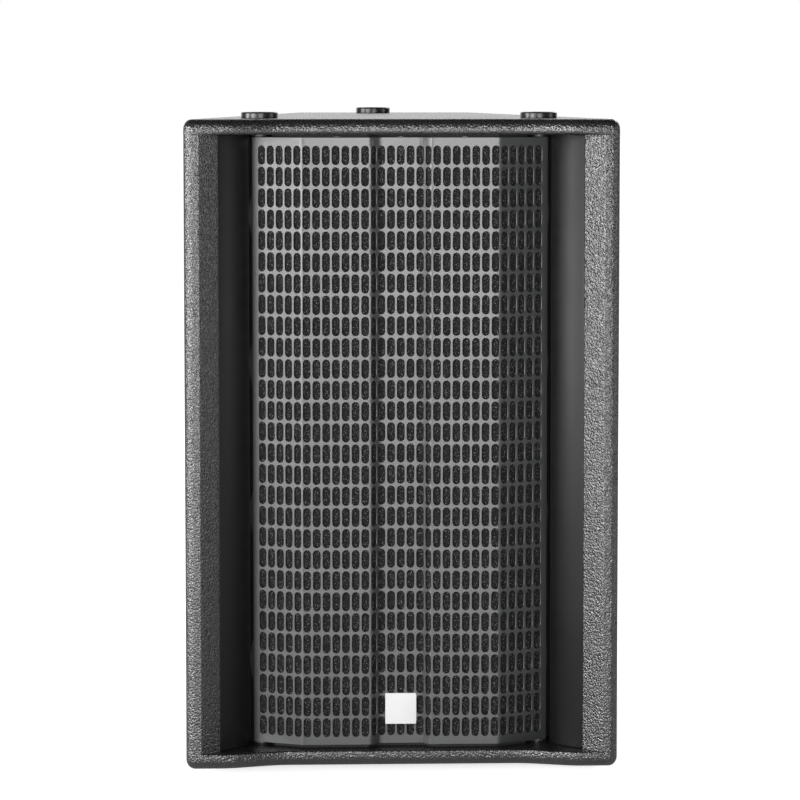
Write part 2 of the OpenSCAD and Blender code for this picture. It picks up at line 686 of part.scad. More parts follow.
module amp_chassis() color(steel) on_plate() translate([0, 0, -plate_t - chassis_d]) {
  w = opening_w - 2;
  h = opening_h - 2;
  difference() {
    linear_extrude(chassis_d) square([w, h], center = true);
    translate([0, 0, chassis_t]) linear_extrude(chassis_d)
      square([w - 2 * chassis_t, h - 2 * chassis_t], center = true);
  }
}

standoffs = [for (x = [-1, 1], y = [-1, 1]) [x * 54, y * (opening_h / 2 - 12)]];
module amp_board() color("#1f5c36") on_plate() translate([0, 0, -board_back])
  linear_extrude(1.6) square([opening_w - 10, opening_h - 12], center = true);
module amp_standoffs() color(steel) for (p = standoffs) on_plate(p[0], p[1])
  translate([0, 0, 1.6 - board_back]) cylinder(h = board_back - plate_t - 1.6, d = 6);
module amp_capacitors() color("#23314f") for (x = [-1, 1], y = [0 : 2])
  on_plate(x * 26, opening_h / 2 - 47 - 38 * y) translate([0, 0, -board_back - 42])
    cylinder(h = 42, d = 30);
module amp_transformer() color("#a8743a") on_plate(0, 68 - opening_h / 2)
  translate([0, 0, chassis_t - plate_t - chassis_d]) rotate_extrude()
    translate([14, 0]) rounded_lump(36, 42, 8);

// Rectangle with its corners rounded, standing on the x axis
module rounded_lump(w, h, r) translate([w / 2, h / 2]) rounded_rect(w, h, r);

module heat_sink() color("#2a2b2e") on_plate(0, sink_y) {
  pitch = (sink_w - 2) / (fins - 1);
  rotate([90, 0, 0]) linear_extrude(sink_h, center = true) {
    translate([-sink_w / 2, 0]) square([sink_w, 2]);
    for (i = [0 : fins - 1]) translate([i * pitch - sink_w / 2, 0]) square([2, rear_inset - plate_t - 0.5]);
  }
}

// Square connector flange with its barrel through the plate
module xlr_shell(bore_l) difference() {
  union() {
    linear_extrude(2) rounded_rect(26, 31, 3);
    translate([0, 0, -xlr_l]) cylinder(h = xlr_l, r = xlr_barrel_r);
  }
  translate([0, 0, 2 - bore_l]) cylinder(h = bore_l + 1, r = xlr_r);
}

module xlr_input() color("#18191b") on_plate(xlr_in_at[0], xlr_in_at[1]) {
  difference() {
    xlr_shell(17);
    translate([-latch_w / 2 - fit, xlr_r - 1, -latch_l])
      cube([latch_w + 2 * fit, 1 + latch_h + fit, 2 * latch_l]);
  }
  translate([0, 0, -xlr_l + 3]) difference() {
    cylinder(h = 17, r = 7.2);
    for (a = [0 : 120 : 240]) rotate(a + 90) translate([3.6, 0, 3]) cylinder(h = 15, d = 2.6);
  }
}
module xlr_latch() color("#c9cbce") on_plate(xlr_in_at[0], xlr_in_at[1])
  translate([-latch_w / 2, xlr_r, latch_room - latch_l]) cube([latch_w, latch_h, latch_l]);
module xlr_link() color("#18191b") on_plate(xlr_out_at[0], xlr_out_at[1]) xlr_shell(17);
module xlr_link_pins() color("#d8c27a") on_plate(xlr_out_at[0], xlr_out_at[1])
  for (a = [0 : 120 : 240]) rotate(a + 90) translate([3.6, 0, -15]) cylinder(h = 12, d = 2.4);

module mains_inlet() color("#121214") on_plate(inlet_at[0], inlet_at[1]) difference() {
  union() {
    linear_extrude(2) rounded_rect(50, inlet_h, 4);
    translate([0, 0, -22]) linear_extrude(22) square([27.4, 21.4], center = true);
  }
  translate([0, 0, -14]) linear_extrude(20)
    polygon([[-12, -8], [12, -8], [12, 4], [8, 8], [-8, 8], [-12, 4]]);
}
module mains_pins() color("#d5d6d8") on_plate(inlet_at[0], inlet_at[1])
  for (p = [[-7, -2], [0, 2], [7, -2]]) translate([p[0], p[1], -8]) cube([2, 4, 12], center = true);

rocker_w = 11;
rocker_l = 17;
axle_r = 1.2;
module switch_frame() color("#121214") on_plate(switch_at[0], switch_at[1]) difference() {
  union() {
    translate([0, 0, 0]) linear_extrude(1.5) rounded_rect(23, 16, 1.5);
    translate([0, 0, -16]) linear_extrude(16) square([19.4, 13.4], center = true);
  }
  translate([0, 0, -9]) linear_extrude(12) square([rocker_l + 1.2, rocker_w + 2 * fit], center = true);
  rotate([90, 0, 0]) cylinder(h = rocker_w + 2, r = axle_r + run, center = true);
}
module power_rocker() color("#1c1c1f") on_plate(switch_at[0], switch_at[1]) {
  rotate([0, rocker_tilt, 0]) rotate([90, 0, 0]) linear_extrude(rocker_w, center = true)
    polygon([[-rocker_l / 2, 2.6], [0, 1.8], [rocker_l / 2, 2.6], [rocker_l / 2 - 1.4, -2.4],
             [0, -3.4], [1.4 - rocker_l / 2, -2.4]]);
  rotate([90, 0, 0]) cylinder(h = rocker_w + 1.6, r = axle_r, center = true);
}

module gain_pot() color(steel) on_plate(knob_at[0], knob_at[1]) difference() {
  union() {
    translate([0, 0, -plate_t - 8]) linear_extrude(8) square([16, 16], center = true);
    translate([0, 0, -plate_t]) cylinder(h = plate_t + 0.5, d = 9);
  }
  translate([0, 0, -plate_t - 7]) cylinder(h = 20, r = shaft_d / 2 + run);
}
module gain_knob() color("#0f0f10") on_plate(knob_at[0], knob_at[1]) {
  translate([0, 0, -plate_t - 6]) cylinder(h = plate_t + 8, d = shaft_d);
  difference() {
    translate([0, 0, 0.8]) rotate_extrude() polygon([[0, 0], [knob_d / 2, 0],
      [knob_d / 2 - 0.8, 6.6], [knob_d / 2 - 1.8, 7.4], [0, 7.4]]);
    for (a = [0 : 30 : 330]) rotate(a) translate([knob_d / 2 + 0.4, 0, 1.8])
      cylinder(h = 9, d = 2, $fn = 16);
    translate([-0.5, knob_d / 2 - 6, 7.6]) cube([1, 6, 2]);
  }
}

module button_guide() color("#121214") on_plate(button_at[0], button_at[1]) difference() {
  union() {
    cylinder(h = 1.5, d = 11);
    translate([0, 0, -plate_t - 5]) cylinder(h = plate_t + 5, d = 8);
  }
  translate([0, 0, -plate_t - 4]) cylinder(h = 20, r = 3 + run);
}
module preset_button() color("#c63b2c") on_plate(button_at[0], button_at[1])
  translate([0, 0, -plate_t - 4 + button_travel + 0.3]) rotate_extrude()
    polygon([[0, 0], [3, 0], [3, plate_t + 5.6], [2.4, plate_t + 6.2], [0, plate_t + 6.2]]);

module status_lights() color("#5fd06a") for (i = [0 : 2]) on_plate(lights_at[0], lights_at[1] - 14 * i) {
  translate([0, 0, -plate_t - 3]) cylinder(h = plate_t + 3, d = 3);
  cylinder(h = 0.8, d = 4);
}

top_panel();
bottom_panel();
side_panel_left();
side_panel_right();
rear_panel();
baffle_board();
cross_braces();
flare_left();
flare_right();
grille();
grille_foam();
grille_battens();
grille_pegs();
peg_sockets();
badge_plate();
hf_waveguides();
hf_drivers();
mid_baskets();
mid_surrounds();
mid_magnets();
mid_cones_left();
mid_cones_right();
driver_screws();
damping_pads();
rigging_inserts();
feet_top();
feet_bottom();
handle_cups();
handle_bars();
handle_screws();
amp_plate();
amp_chassis();
amp_board();
amp_standoffs();
amp_capacitors();
amp_transformer();
heat_sink();
xlr_input();
xlr_latch();
xlr_link();
xlr_link_pins();
mains_inlet();
mains_pins();
switch_frame();
power_rocker();
gain_pot();
gain_knob();
button_guide();
preset_button();
status_lights();
plate_screws();
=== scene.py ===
# %% [markdown]
# # A line array loudspeaker
# The frame holds every solid of the cabinet at its real size. This lesson dresses it: the
# painted boards, the hollow flares, the bent punched sheet over dark foam, and the fittings.
# Everything is in metres, the front faces -Y, and z = 0 is the floor.

# %% Load the frame
import json
from math import acos, asin, atan2, cos, degrees, pi, radians, sin, tan, tau

import bmesh
import bpy
from mathutils import Matrix, Vector, noise

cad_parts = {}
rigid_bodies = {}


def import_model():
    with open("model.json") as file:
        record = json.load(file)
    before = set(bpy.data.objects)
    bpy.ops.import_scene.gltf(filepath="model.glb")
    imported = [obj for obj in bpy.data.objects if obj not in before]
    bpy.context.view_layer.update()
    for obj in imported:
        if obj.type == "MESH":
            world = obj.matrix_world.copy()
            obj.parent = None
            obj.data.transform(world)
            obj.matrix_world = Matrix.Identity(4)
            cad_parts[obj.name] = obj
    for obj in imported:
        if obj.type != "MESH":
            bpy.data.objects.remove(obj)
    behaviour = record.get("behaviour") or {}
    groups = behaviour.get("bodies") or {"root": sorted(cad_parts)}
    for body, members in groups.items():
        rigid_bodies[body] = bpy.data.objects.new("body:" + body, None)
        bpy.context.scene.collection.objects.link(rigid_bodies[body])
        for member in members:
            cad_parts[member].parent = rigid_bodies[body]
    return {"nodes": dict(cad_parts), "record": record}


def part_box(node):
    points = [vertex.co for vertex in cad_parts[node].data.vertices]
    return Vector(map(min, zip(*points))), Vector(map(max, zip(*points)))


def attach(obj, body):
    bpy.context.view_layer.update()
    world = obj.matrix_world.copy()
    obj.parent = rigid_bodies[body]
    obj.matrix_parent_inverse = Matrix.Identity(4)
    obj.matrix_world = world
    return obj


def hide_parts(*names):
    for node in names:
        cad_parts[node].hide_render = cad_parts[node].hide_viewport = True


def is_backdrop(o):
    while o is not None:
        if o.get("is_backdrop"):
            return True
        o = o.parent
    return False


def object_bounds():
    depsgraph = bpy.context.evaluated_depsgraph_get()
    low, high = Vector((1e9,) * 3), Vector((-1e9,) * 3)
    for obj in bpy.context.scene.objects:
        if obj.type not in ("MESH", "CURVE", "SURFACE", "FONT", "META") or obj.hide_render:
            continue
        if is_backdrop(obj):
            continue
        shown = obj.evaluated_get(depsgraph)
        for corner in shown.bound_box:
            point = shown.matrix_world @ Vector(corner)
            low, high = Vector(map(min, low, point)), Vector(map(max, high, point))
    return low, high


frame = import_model()
cad_low, cad_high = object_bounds()
print("frame box", tuple(cad_low), tuple(cad_high))

# %% [markdown]
# ## Small tools for meshes
# Most pieces here are a plan outline carried upwards, a stack of rounded rectangles or a
# profile turned round an axis. `loft` makes the first two and `lathe` the third. The place of
# each object is worked into its mesh, which is what the frame asks for.

# %% Objects and shading
MM = 0.001
LARGE = 0.002  # in m2: a face above this is a true plane


def in_scene(name, data):
    """Puts data into the scene as an object."""
    obj = bpy.data.objects.new(name, data)
    bpy.context.scene.collection.objects.link(obj)
    return obj


def mesh_object(name, points, faces, place=None):
    """Makes an object at the origin; place is a matrix that is worked into the mesh."""
    mesh = bpy.data.meshes.new(name)
    mesh.from_pydata([tuple(p) for p in points], [], faces)
    if place is not None:
        mesh.transform(place)
    mesh.update()
    return in_scene(name, mesh)


def smooth(obj, angle=32):
    """Shades smooth, with large faces left flat and edges sharper than the angle left crisp."""
    obj.data.set_sharp_from_angle(angle=radians(angle))
    obj.data.polygons.foreach_set("use_smooth", [face.area < LARGE for face in obj.data.polygons])
    return obj


def baked(obj):
    """Turns the evaluated object, with its modifiers, into a plain mesh."""
    depsgraph = bpy.context.evaluated_depsgraph_get()
    mesh = bpy.data.meshes.new_from_object(obj.evaluated_get(depsgraph))
    obj.modifiers.clear()
    obj.data = mesh
    mesh.name = obj.name
    return obj


# %% Softer edges
SOFT_STEPS, SOFT_ABOVE = 3, radians(30)


def softened(obj, width, upright_only=False):
    """Rounds all sharp edges of a mesh, or only the upright ones, by a bevel of that width."""
    if upright_only:
        weights = obj.data.attributes.new("bevel_weight_edge", "FLOAT", "EDGE")
        for edge in obj.data.edges:
            a, b = (obj.data.vertices[i].co for i in edge.vertices)
            weights.data[edge.index].value = float(abs(a.z - b.z) > abs(a.x - b.x) + abs(a.y - b.y))
    bevel = obj.modifiers.new("soft edges", "BEVEL")
    bevel.width, bevel.segments, bevel.angle_limit = width, SOFT_STEPS, SOFT_ABOVE
    bevel.limit_method = "WEIGHT" if upright_only else "ANGLE"
    return smooth(baked(obj))


def weld(obj, distance=0.001 * MM):
    """Merges doubled points and turns all faces outwards."""
    work = bmesh.new()
    work.from_mesh(obj.data)
    bmesh.ops.remove_doubles(work, verts=work.verts, dist=distance)
    bmesh.ops.dissolve_degenerate(work, edges=work.edges, dist=distance)
    bmesh.ops.recalc_face_normals(work, faces=work.faces)
    work.to_mesh(obj.data)
    work.free()
    return obj


# %% Lofts, lathes and rounded rectangles
def loft(name, loops, place=None, close=True):
    """Joins closed loops of equal length with quads; the two end loops are capped."""
    count = len(loops[0])
    points = [p for loop in loops for p in loop]
    faces = [
        (a, b, b + count, a + count)
        for row in range(len(loops) - 1)
        for i in range(count)
        for a, b in [(row * count + i, row * count + (i + 1) % count)]
    ]
    if close:
        last = len(points) - count
        faces += [tuple(reversed(range(count))), tuple(range(last, last + count))]
    return mesh_object(name, points, faces, place)


def lathe(name, profile, place=None, steps=48):
    """Turns a closed profile of (radius, height) points round +Z."""
    points = [
        (r * cos(a), r * sin(a), z)
        for r, z in profile
        for a in (tau * i / steps for i in range(steps))
    ]
    count = len(profile)
    faces = [
        (j * steps + i, j * steps + k, m * steps + k, m * steps + i)
        for j in range(count)
        for m in [(j + 1) % count]
        for i in range(steps)
        for k in [(i + 1) % steps]
    ]
    return smooth(weld(mesh_object(name, points, faces, place)))


def rounded_loop(width, height, radius, level, steps=6):
    """Rounded rectangle about the Z axis, counter-clockwise, at one level."""
    loop = []
    for sx, sy, start in ((1, 1, 0), (-1, 1, 90), (-1, -1, 180), (1, -1, 270)):
        for i in range(steps + 1):
            a = radians(start + 90 * i / steps)
            x = sx * (width / 2 - radius) + radius * cos(a)
            y = sy * (height / 2 - radius) + radius * sin(a)
            loop.append((x, y, level))
    return loop


# %% [markdown]
# ## Writing finishes as arithmetic
# A shader is easier to read as a sum than as a web of wires. `Value` wraps an output socket
# and overloads the usual operators, so `1 - mask` adds a Math node by itself. `Graph` makes
# any other node with one method, and `Finish` is the graph of one material. The geometry
# trees further down are written in the same way.


# %% Numbers that add their own nodes
class Value:
    """An output socket that takes part in arithmetic."""

    def __init__(self, graph, socket):
        self.graph, self.socket = graph, socket

    def also(self, name):
        """Another output of the same node."""
        return Value(self.graph, self.socket.node.outputs[name])

    def _math(self, operation, first, second):
        return self.graph.node("ShaderNodeMath", {"operation": operation}, {0: first, 1: second})

    def __add__(self, other):
        return self._math("ADD", self, other)

    def __sub__(self, other):
        return self._math("SUBTRACT", self, other)

    def __rsub__(self, other):
        return self._math("SUBTRACT", other, self)

    def __mul__(self, other):
        return self._math("MULTIPLY", self, other)

    def __truediv__(self, other):
        return self._math("DIVIDE", self, other)

    __radd__, __rmul__ = __add__, __mul__


# %% Graphs and finishes
class Graph:
    """A node tree, built node by node."""

    def __init__(self, tree):
        self.tree = tree

    def node(self, kind, settings=None, links=None, out=0):
        """Makes a node, gives its settings and its inputs, and returns one output."""
        made = self.tree.nodes.new(kind)
        for key, value in (settings or {}).items():
            if key == "stops":
                self._stops(made.color_ramp, value)
            else:
                setattr(made, key, value)
        for key, value in (links or {}).items():
            self.put(made.inputs[key], value)
        return Value(self, made.outputs[out])

    def put(self, socket, value):
        """Fills an input with a link, a list of links, a colour, a vector or a number."""
        if isinstance(value, list):
            for source in value:
                self.put(socket, source)
        elif isinstance(value, Value):
            self.tree.links.new(value.socket, socket)
        elif isinstance(value, tuple):
            socket.default_value = (*value, 1.0) if len(value) < len(socket.default_value) else value
        else:
            socket.default_value = value

    def fade(self, value, start, end, first=0.0, last=1.0):
        """A number that goes from first to last while the value goes from start to end."""
        links = {"Value": value, "From Min": start, "From Max": end, "To Min": first, "To Max": last}
        return self.node("ShaderNodeMapRange", None, links)

    @staticmethod
    def _stops(ramp, stops):
        while len(ramp.elements) < len(stops):
            ramp.elements.new(0.5)
        for element, (position, colour) in zip(ramp.elements, stops):
            element.position = position
            element.color = (*colour, 1.0)


class Finish(Graph):
    """One material."""

    def __init__(self, name):
        self.material = bpy.data.materials.new(name)
        self.material.use_nodes = True
        super().__init__(self.material.node_tree)
        self.shader = self.tree.nodes["Principled BSDF"]
        self.place = self.node("ShaderNodeTexCoord", out="Object")

    def set(self, **values):
        """Sets sockets of the main shader; an underscore stands for a space."""
        for key, value in values.items():
            self.put(self.shader.inputs[key.replace("_", " ")], value)
        return self

    def noise(self, scale, detail=2.0, roughness=0.5):
        links = {"Vector": self.place, "Scale": scale, "Detail": detail, "Roughness": roughness}
        return self.node("ShaderNodeTexNoise", None, links)

    def cells(self, scale, feature="SMOOTH_F1", smoothness=0.6):
        links = {"Vector": self.place, "Scale": scale}
        if feature == "SMOOTH_F1":
            links["Smoothness"] = smoothness
        return self.node("ShaderNodeTexVoronoi", {"feature": feature}, links)

    def between(self, mask, low, high):
        """Mixes two colours by a mask."""
        made = self.tree.nodes.new("ShaderNodeMix")
        made.data_type = "RGBA"
        self.put(made.inputs["Factor"], mask)
        for key, value in (("A", low), ("B", high)):
            socket = [s for s in made.inputs if s.name == key and s.type == "RGBA"][0]
            self.put(socket, value)
        return Value(self, [s for s in made.outputs if s.type == "RGBA"][0])

    def relief(self, height, depth):
        """Bumps the surface; depth is the real height of the relief in metres."""
        self.set(Normal=self.node("ShaderNodeBump", None, {"Height": height, "Distance": depth}))
        return self


def grey(value, tint=0.0):
    """A grey that leans slightly to blue by the tint."""
    return (value * (1 - tint), value, value * (1 + tint))


# %% [markdown]
# ## Paint, lacquer, powder coat
# The boards carry a sprayed, structured polyurethane paint. Its pimples are one to three
# millimetres wide and are what catches the light, so they are a relief: one cell pattern with
# fine noise over it. The gloss varies just as finely, which makes the light sparkle. The
# flares are plain smooth plastic. The sheet has a half-gloss coat that is thin and dense.
# The scale of a pattern is its number of grains to the metre.


# %% Main finishes
def structured_paint(shade=0.016):
    paint = Finish("cabinet_paint")
    pimples = paint.cells(540, smoothness=0.5)
    fine = paint.noise(900, detail=2, roughness=0.6)
    broad = paint.noise(9, detail=2)
    height = pimples * -1.0 + fine * 0.35
    dull_spots = {"stops": [(0.35, (0, 0, 0)), (0.75, (1, 1, 1))]}
    worn = paint.node("ShaderNodeValToRGB", dull_spots, {"Fac": fine})
    paint.set(Base_Color=paint.between(worn, grey(shade * 0.6), grey(shade * 1.5)))
    paint.set(Roughness=worn * 0.24 + (broad * 0.08 + 0.12), Specular_IOR_Level=0.7, IOR=1.6)
    return paint.relief(height, 0.55 * MM)


def flare_black():
    lacquer = Finish("flare_plastic")
    grain = lacquer.noise(1500, detail=2)
    broad = lacquer.noise(14, detail=3)
    lacquer.set(Base_Color=lacquer.between(broad, grey(0.003), grey(0.006)), Specular_IOR_Level=0.25)
    lacquer.set(Roughness=0.34 + broad * 0.12)
    return lacquer.relief(grain, 0.03 * MM)


def sheet_coat():
    powder = Finish("grille_coat")
    dust = powder.noise(700, detail=3, roughness=0.6)
    broad = powder.noise(11, detail=2)
    powder.set(Base_Color=powder.between(dust, grey(0.018, 0.04), grey(0.028, 0.04)))
    powder.set(Specular_IOR_Level=0.9, Roughness=0.32 + broad * 0.08)
    return powder.relief(dust, 0.05 * MM)


def foam_grey():
    foam = Finish("foam")
    pores = foam.cells(640, feature="F1")
    # The light specks are painted glints: in lit patches the tips of the pores get a pale colour.
    painted_glint_stops = {"stops": [(0.12, (1, 1, 1)), (0.42, (0, 0, 0))]}
    glint = foam.node("ShaderNodeValToRGB", painted_glint_stops, {"Fac": pores})
    patch = foam.noise(420, detail=3, roughness=0.7)
    lit = foam.fade(patch, 0.42, 0.62)
    foam.set(Base_Color=foam.between(lit * glint, grey(0.010), grey(0.20)))
    foam.set(Roughness=0.6 + patch * 0.2, Specular_IOR_Level=0.15)
    return foam.relief(pores + patch * 0.6, 0.8 * MM)


FINISHES = {
    "cabinet_paint": structured_paint(),
    "flare_plastic": flare_black(),
    "grille_coat": sheet_coat(),
    "foam": foam_grey(),
}

# %% [markdown]
# ## The smaller finishes
# Rubber, screws, anodised aluminium and moulded plastic differ mostly in four numbers: shade,
# roughness, metallic share and the size of their grain. One function makes all of them, and a
# table holds the numbers.


# %% Small finishes
def plain_finish(name, shade, roughness, metallic=0.0, grain=900, depth=0.04, spread=0.25):
    """depth is that of the grain, in millimetres; spread is how far dark and light differ."""
    finish = Finish(name)
    mottled = finish.noise(grain, detail=3, roughness=0.55)
    broad = finish.noise(30, detail=2)
    dark = tuple(c * (1 - spread) for c in shade)
    light = tuple(c * (1 + spread) for c in shade)
    finish.set(Base_Color=finish.between(mottled, dark, light), Metallic=metallic)
    finish.set(Roughness=broad * 0.15 + (roughness - 0.075))
    return finish.relief(mottled, depth * MM)


SMALL = {  # shade, roughness, metallic share, grain, its depth in millimetres, and spread
    "baffle_paint": (grey(0.012), 0.8, 0.0, 500, 0.2),
    "plywood": ((0.42, 0.27, 0.14), 0.6, 0.0, 160, 0.1),
    "zinc_steel": (grey(0.24, 0.01), 0.55, 1.0, 600, 0.02),
    "foot_rubber": (grey(0.016), 0.3, 0.0, 900, 0.004),
    "badge_white": (grey(0.66), 0.5, 0.0, 300, 0.01, 0.02),
    "driver_metal": (grey(0.04), 0.5, 0.6, 500, 0.08),
    "cone_paper": (grey(0.02), 0.8, 0.0, 350, 0.15),
    "black_screws": (grey(0.02), 0.38, 0.7, 900, 0.03),
    "damping_felt": (grey(0.25), 0.95, 0.0, 260, 1.2),
    "handle_coat": (grey(0.018), 0.5, 0.0, 1100, 0.08),
    "handle_grip": (grey(0.015), 0.62, 0.0, 1200, 0.06),
    "plate_coat": (grey(0.022), 0.48, 0.0, 1300, 0.07),
    "board_green": ((0.02, 0.12, 0.05), 0.4, 0.0, 200, 0.05),
    "capacitor_sleeve": ((0.02, 0.04, 0.12), 0.3, 0.0, 200, 0.02),
    "copper_winding": ((0.45, 0.2, 0.08), 0.35, 1.0, 800, 0.2),
    "sink_anodised": (grey(0.03), 0.4, 0.7, 1500, 0.03),
    "connector_plastic": (grey(0.02), 0.42, 0.0, 1200, 0.04),
    "latch_nickel": (grey(0.65), 0.25, 1.0, 500, 0.01),
    "pin_brass": ((0.7, 0.55, 0.25), 0.28, 1.0, 500, 0.01),
    "rocker_plastic": (grey(0.018), 0.25, 0.0, 900, 0.02),
    "knob_plastic": (grey(0.016), 0.5, 0.0, 1300, 0.06),
    "button_red": ((0.45, 0.02, 0.012), 0.3, 0.0, 500, 0.02),
    "light_lens": ((0.05, 0.45, 0.09), 0.2, 0.0, 300, 0.01),
    "print_white": (grey(0.75), 0.55, 0.0, 500, 0.02, 0.04),
}
FINISHES.update({name: plain_finish(name, *numbers) for name, numbers in SMALL.items()})


def coat(obj, slot):
    """Gives an object one finish only."""
    obj.data.materials.clear()
    obj.data.materials.append(FINISHES[slot].material)


def dress(obj, slot, body="cabinet", stands_for=()):
    """Gives a piece its finish and its body, and hides the solids that it stands for."""
    coat(obj, slot)
    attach(obj, body)
    if stands_for:
        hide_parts(*stands_for)
    print(obj.name, len(obj.data.polygons), "faces")
    return obj


for subpart in frame["record"]["subparts"]:
    coat(frame["nodes"][subpart["node"]], subpart["material_slot"])
print(len(FINISHES), "finishes")

# %% [markdown]
# ## The plan of the cabinet
# Seen from above the cabinet is a trapezoid. Its front edge swings back in the middle, and
# each upright corner is rounded. The same outline serves the top, the bottom and the walls,
# so it is worked out once, as (x, depth) points behind the front corners.

# %% Plan outline
FRONT = cad_low.y
DEPTH = cad_high.y - cad_low.y
HALF_W = cad_high.x
BACK_HALF = 97.5 * MM
CORNER_R = 9 * MM
SET_BACK, MIDDLE_HALF, WING_HALF = 16 * MM, 109 * MM, 177 * MM
FLOOR_Z, ROOF_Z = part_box("side_panel_left")[0].z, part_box("side_panel_left")[1].z
BOTTOM_Z, TOP_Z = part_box("bottom_panel")[0].z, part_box("top_panel")[1].z
MIDDLE_Z = (FLOOR_Z + ROOF_Z) / 2
BOARD = TOP_Z - ROOF_Z
SIDES = {"right": 1, "left": -1}

wall_run = Vector((HALF_W - CORNER_R - BACK_HALF, DEPTH - CORNER_R))
WALL_ANGLE = atan2(wall_run.x, wall_run.y) + asin(CORNER_R / wall_run.length)
print("cabinet", 2 * HALF_W, DEPTH, TOP_Z - BOTTOM_Z, "walls at", degrees(WALL_ANGLE))


def outer(depth):
    """Half width of the cabinet's outside at a depth."""
    return BACK_HALF + tan(WALL_ANGLE) * (DEPTH - depth)


def inner(depth):
    """Half width inside the side boards at a depth."""
    return outer(depth) - BOARD / cos(WALL_ANGLE)


# %% Arcs and insets in plan
def turned(v, angle):
    """A plan vector turned by an angle."""
    c, s = cos(angle), sin(angle)
    return Vector((v.x * c - v.y * s, v.x * s + v.y * c))


def fillet(a, b, c, radius, steps=10):
    """Arc that rounds the corner b of the path a, b, c."""
    a, b, c = Vector(a), Vector(b), Vector(c)
    u, v = (a - b).normalized(), (c - b).normalized()
    half = acos(u.dot(v)) / 2
    centre = b + (u + v).normalized() * radius / sin(half)
    start = b + u * radius / tan(half) - centre
    side = 1 if v.x * u.y - v.y * u.x > 0 else -1
    return [centre + turned(start, side * (pi - 2 * half) * i / steps) for i in range(steps + 1)]


def wall_corners(start):
    """Front and rear corner of the right wall, on a path that comes from the point start."""
    corner, rear = (outer(0), 0), (outer(DEPTH), DEPTH)
    return fillet(start, corner, rear, CORNER_R) + fillet(corner, rear, (0, DEPTH), CORNER_R)


def half_outline(steps=20):
    """Right half of the outline, which begins with the swing of the front edge."""
    swing = []
    for i in range(steps + 1):
        t = i / steps
        x = MIDDLE_HALF + (WING_HALF - MIDDLE_HALF) * t
        swing.append(Vector((x, SET_BACK * (1 - t * t * (3 - 2 * t)))))
    return swing + wall_corners((WING_HALF, 0))


def mirrored(points):
    """The same points on the left, in reverse, so that a path runs on."""
    return [Vector((-p.x, p.y)) for p in reversed(points)]


def inset(points, distance):
    """Moves a counter-clockwise outline inwards."""
    moved = []
    for i, p in enumerate(points):
        u = (p - points[i - 1]).normalized()
        v = (points[(i + 1) % len(points)] - p).normalized()
        a, b = Vector((-u.y, u.x)), Vector((-v.y, v.x))
        moved.append(p + (a + b) * distance / (1 + a.dot(b)))
    return moved


def raised(points, z):
    """Plan points at a height, in the frame."""
    return [(p.x, p.y + FRONT, z) for p in points]


# %% [markdown]
# ## Top and bottom board
# Each board is a slab whose outer edge is rolled over, a little higher than it is deep. A
# bevel modifier would work on the slab too, but it stumbles where the swept edge meets the
# tight corners, so the roll is laid down ring by ring from the outline, which keeps every ring
# evenly spaced. On the inside only the lip along the front opening is rounded, the upper one
# more than the lower: beside the opening the board runs on into the side boards.

# %% Boards
BEVEL_HALF = 195 * MM
ROLL_IN, ROLL_H, ROLL_STEPS = 8 * MM, 9.5 * MM, 9
TOP_LIP_R, BOTTOM_LIP_R, LIP_STEPS = 4 * MM, 1.6 * MM, 4


def rolled_board(name, inner_z, outer_z, lip_r):
    up = 1 if outer_z > inner_z else -1
    outline = half_outline() + mirrored(half_outline())
    loops = []
    for i in range(LIP_STEPS + 1):
        a = pi / 2 * i / LIP_STEPS
        eased = [
            q if abs(p.x) < BEVEL_HALF and p.y < DEPTH / 2 else p
            for p, q in zip(outline, inset(outline, lip_r * (1 - sin(a))))
        ]
        loops.append(raised(eased, inner_z + up * lip_r * (1 - cos(a))))
    for i in range(ROLL_STEPS + 1):
        a = pi / 2 * i / ROLL_STEPS
        level = outer_z - up * ROLL_H * (1 - sin(a))
        loops.append(raised(inset(outline, ROLL_IN * (1 - cos(a))), level))
    return smooth(weld(loft(name, loops)), 40)


top = rolled_board("top_board", ROOF_Z, TOP_Z, TOP_LIP_R)
dress(top, "cabinet_paint", stands_for=["top_panel"])
bottom = rolled_board("bottom_board", FLOOR_Z, BOTTOM_Z, BOTTOM_LIP_R)
dress(bottom, "cabinet_paint", stands_for=["bottom_panel"])

# %% [markdown]
# ## Side boards
# The front end of each side board is cut to a bevel that faces inwards, and a hole is cut for
# the handle cup. The plan is carried upwards and the hole is a boolean. Painted plywood has no
# sharp edge, so a small bevel rounds the upright ones. The ends lie against the other boards.

# %% Side boards
BEVEL_DEPTH, CHEEK_SEAT = 18 * MM, 26 * MM
HANDLE_DEPTH = 215 * MM
GRIP_W, GRIP_H, CUP_T, CUP_D, CUP_R = 118 * MM, 78 * MM, 2.5 * MM, 42 * MM, 12 * MM
HOLE_W, HOLE_H = GRIP_W + 6 * MM, GRIP_H + 6 * MM


def on_side(side):
    """Matrix of a handle: +Z out of the wall, +X back along it, +Y up."""
    out = Vector((cos(WALL_ANGLE), sin(WALL_ANGLE), 0))
    along = Vector((-sin(WALL_ANGLE), cos(WALL_ANGLE), 0))
    place = Matrix((along, (0, 0, 1), out)).transposed().to_4x4()
    place.translation = (outer(HANDLE_DEPTH), HANDLE_DEPTH + FRONT, MIDDLE_Z)
    return place if side > 0 else Matrix.Diagonal((-1, 1, 1, 1)) @ place


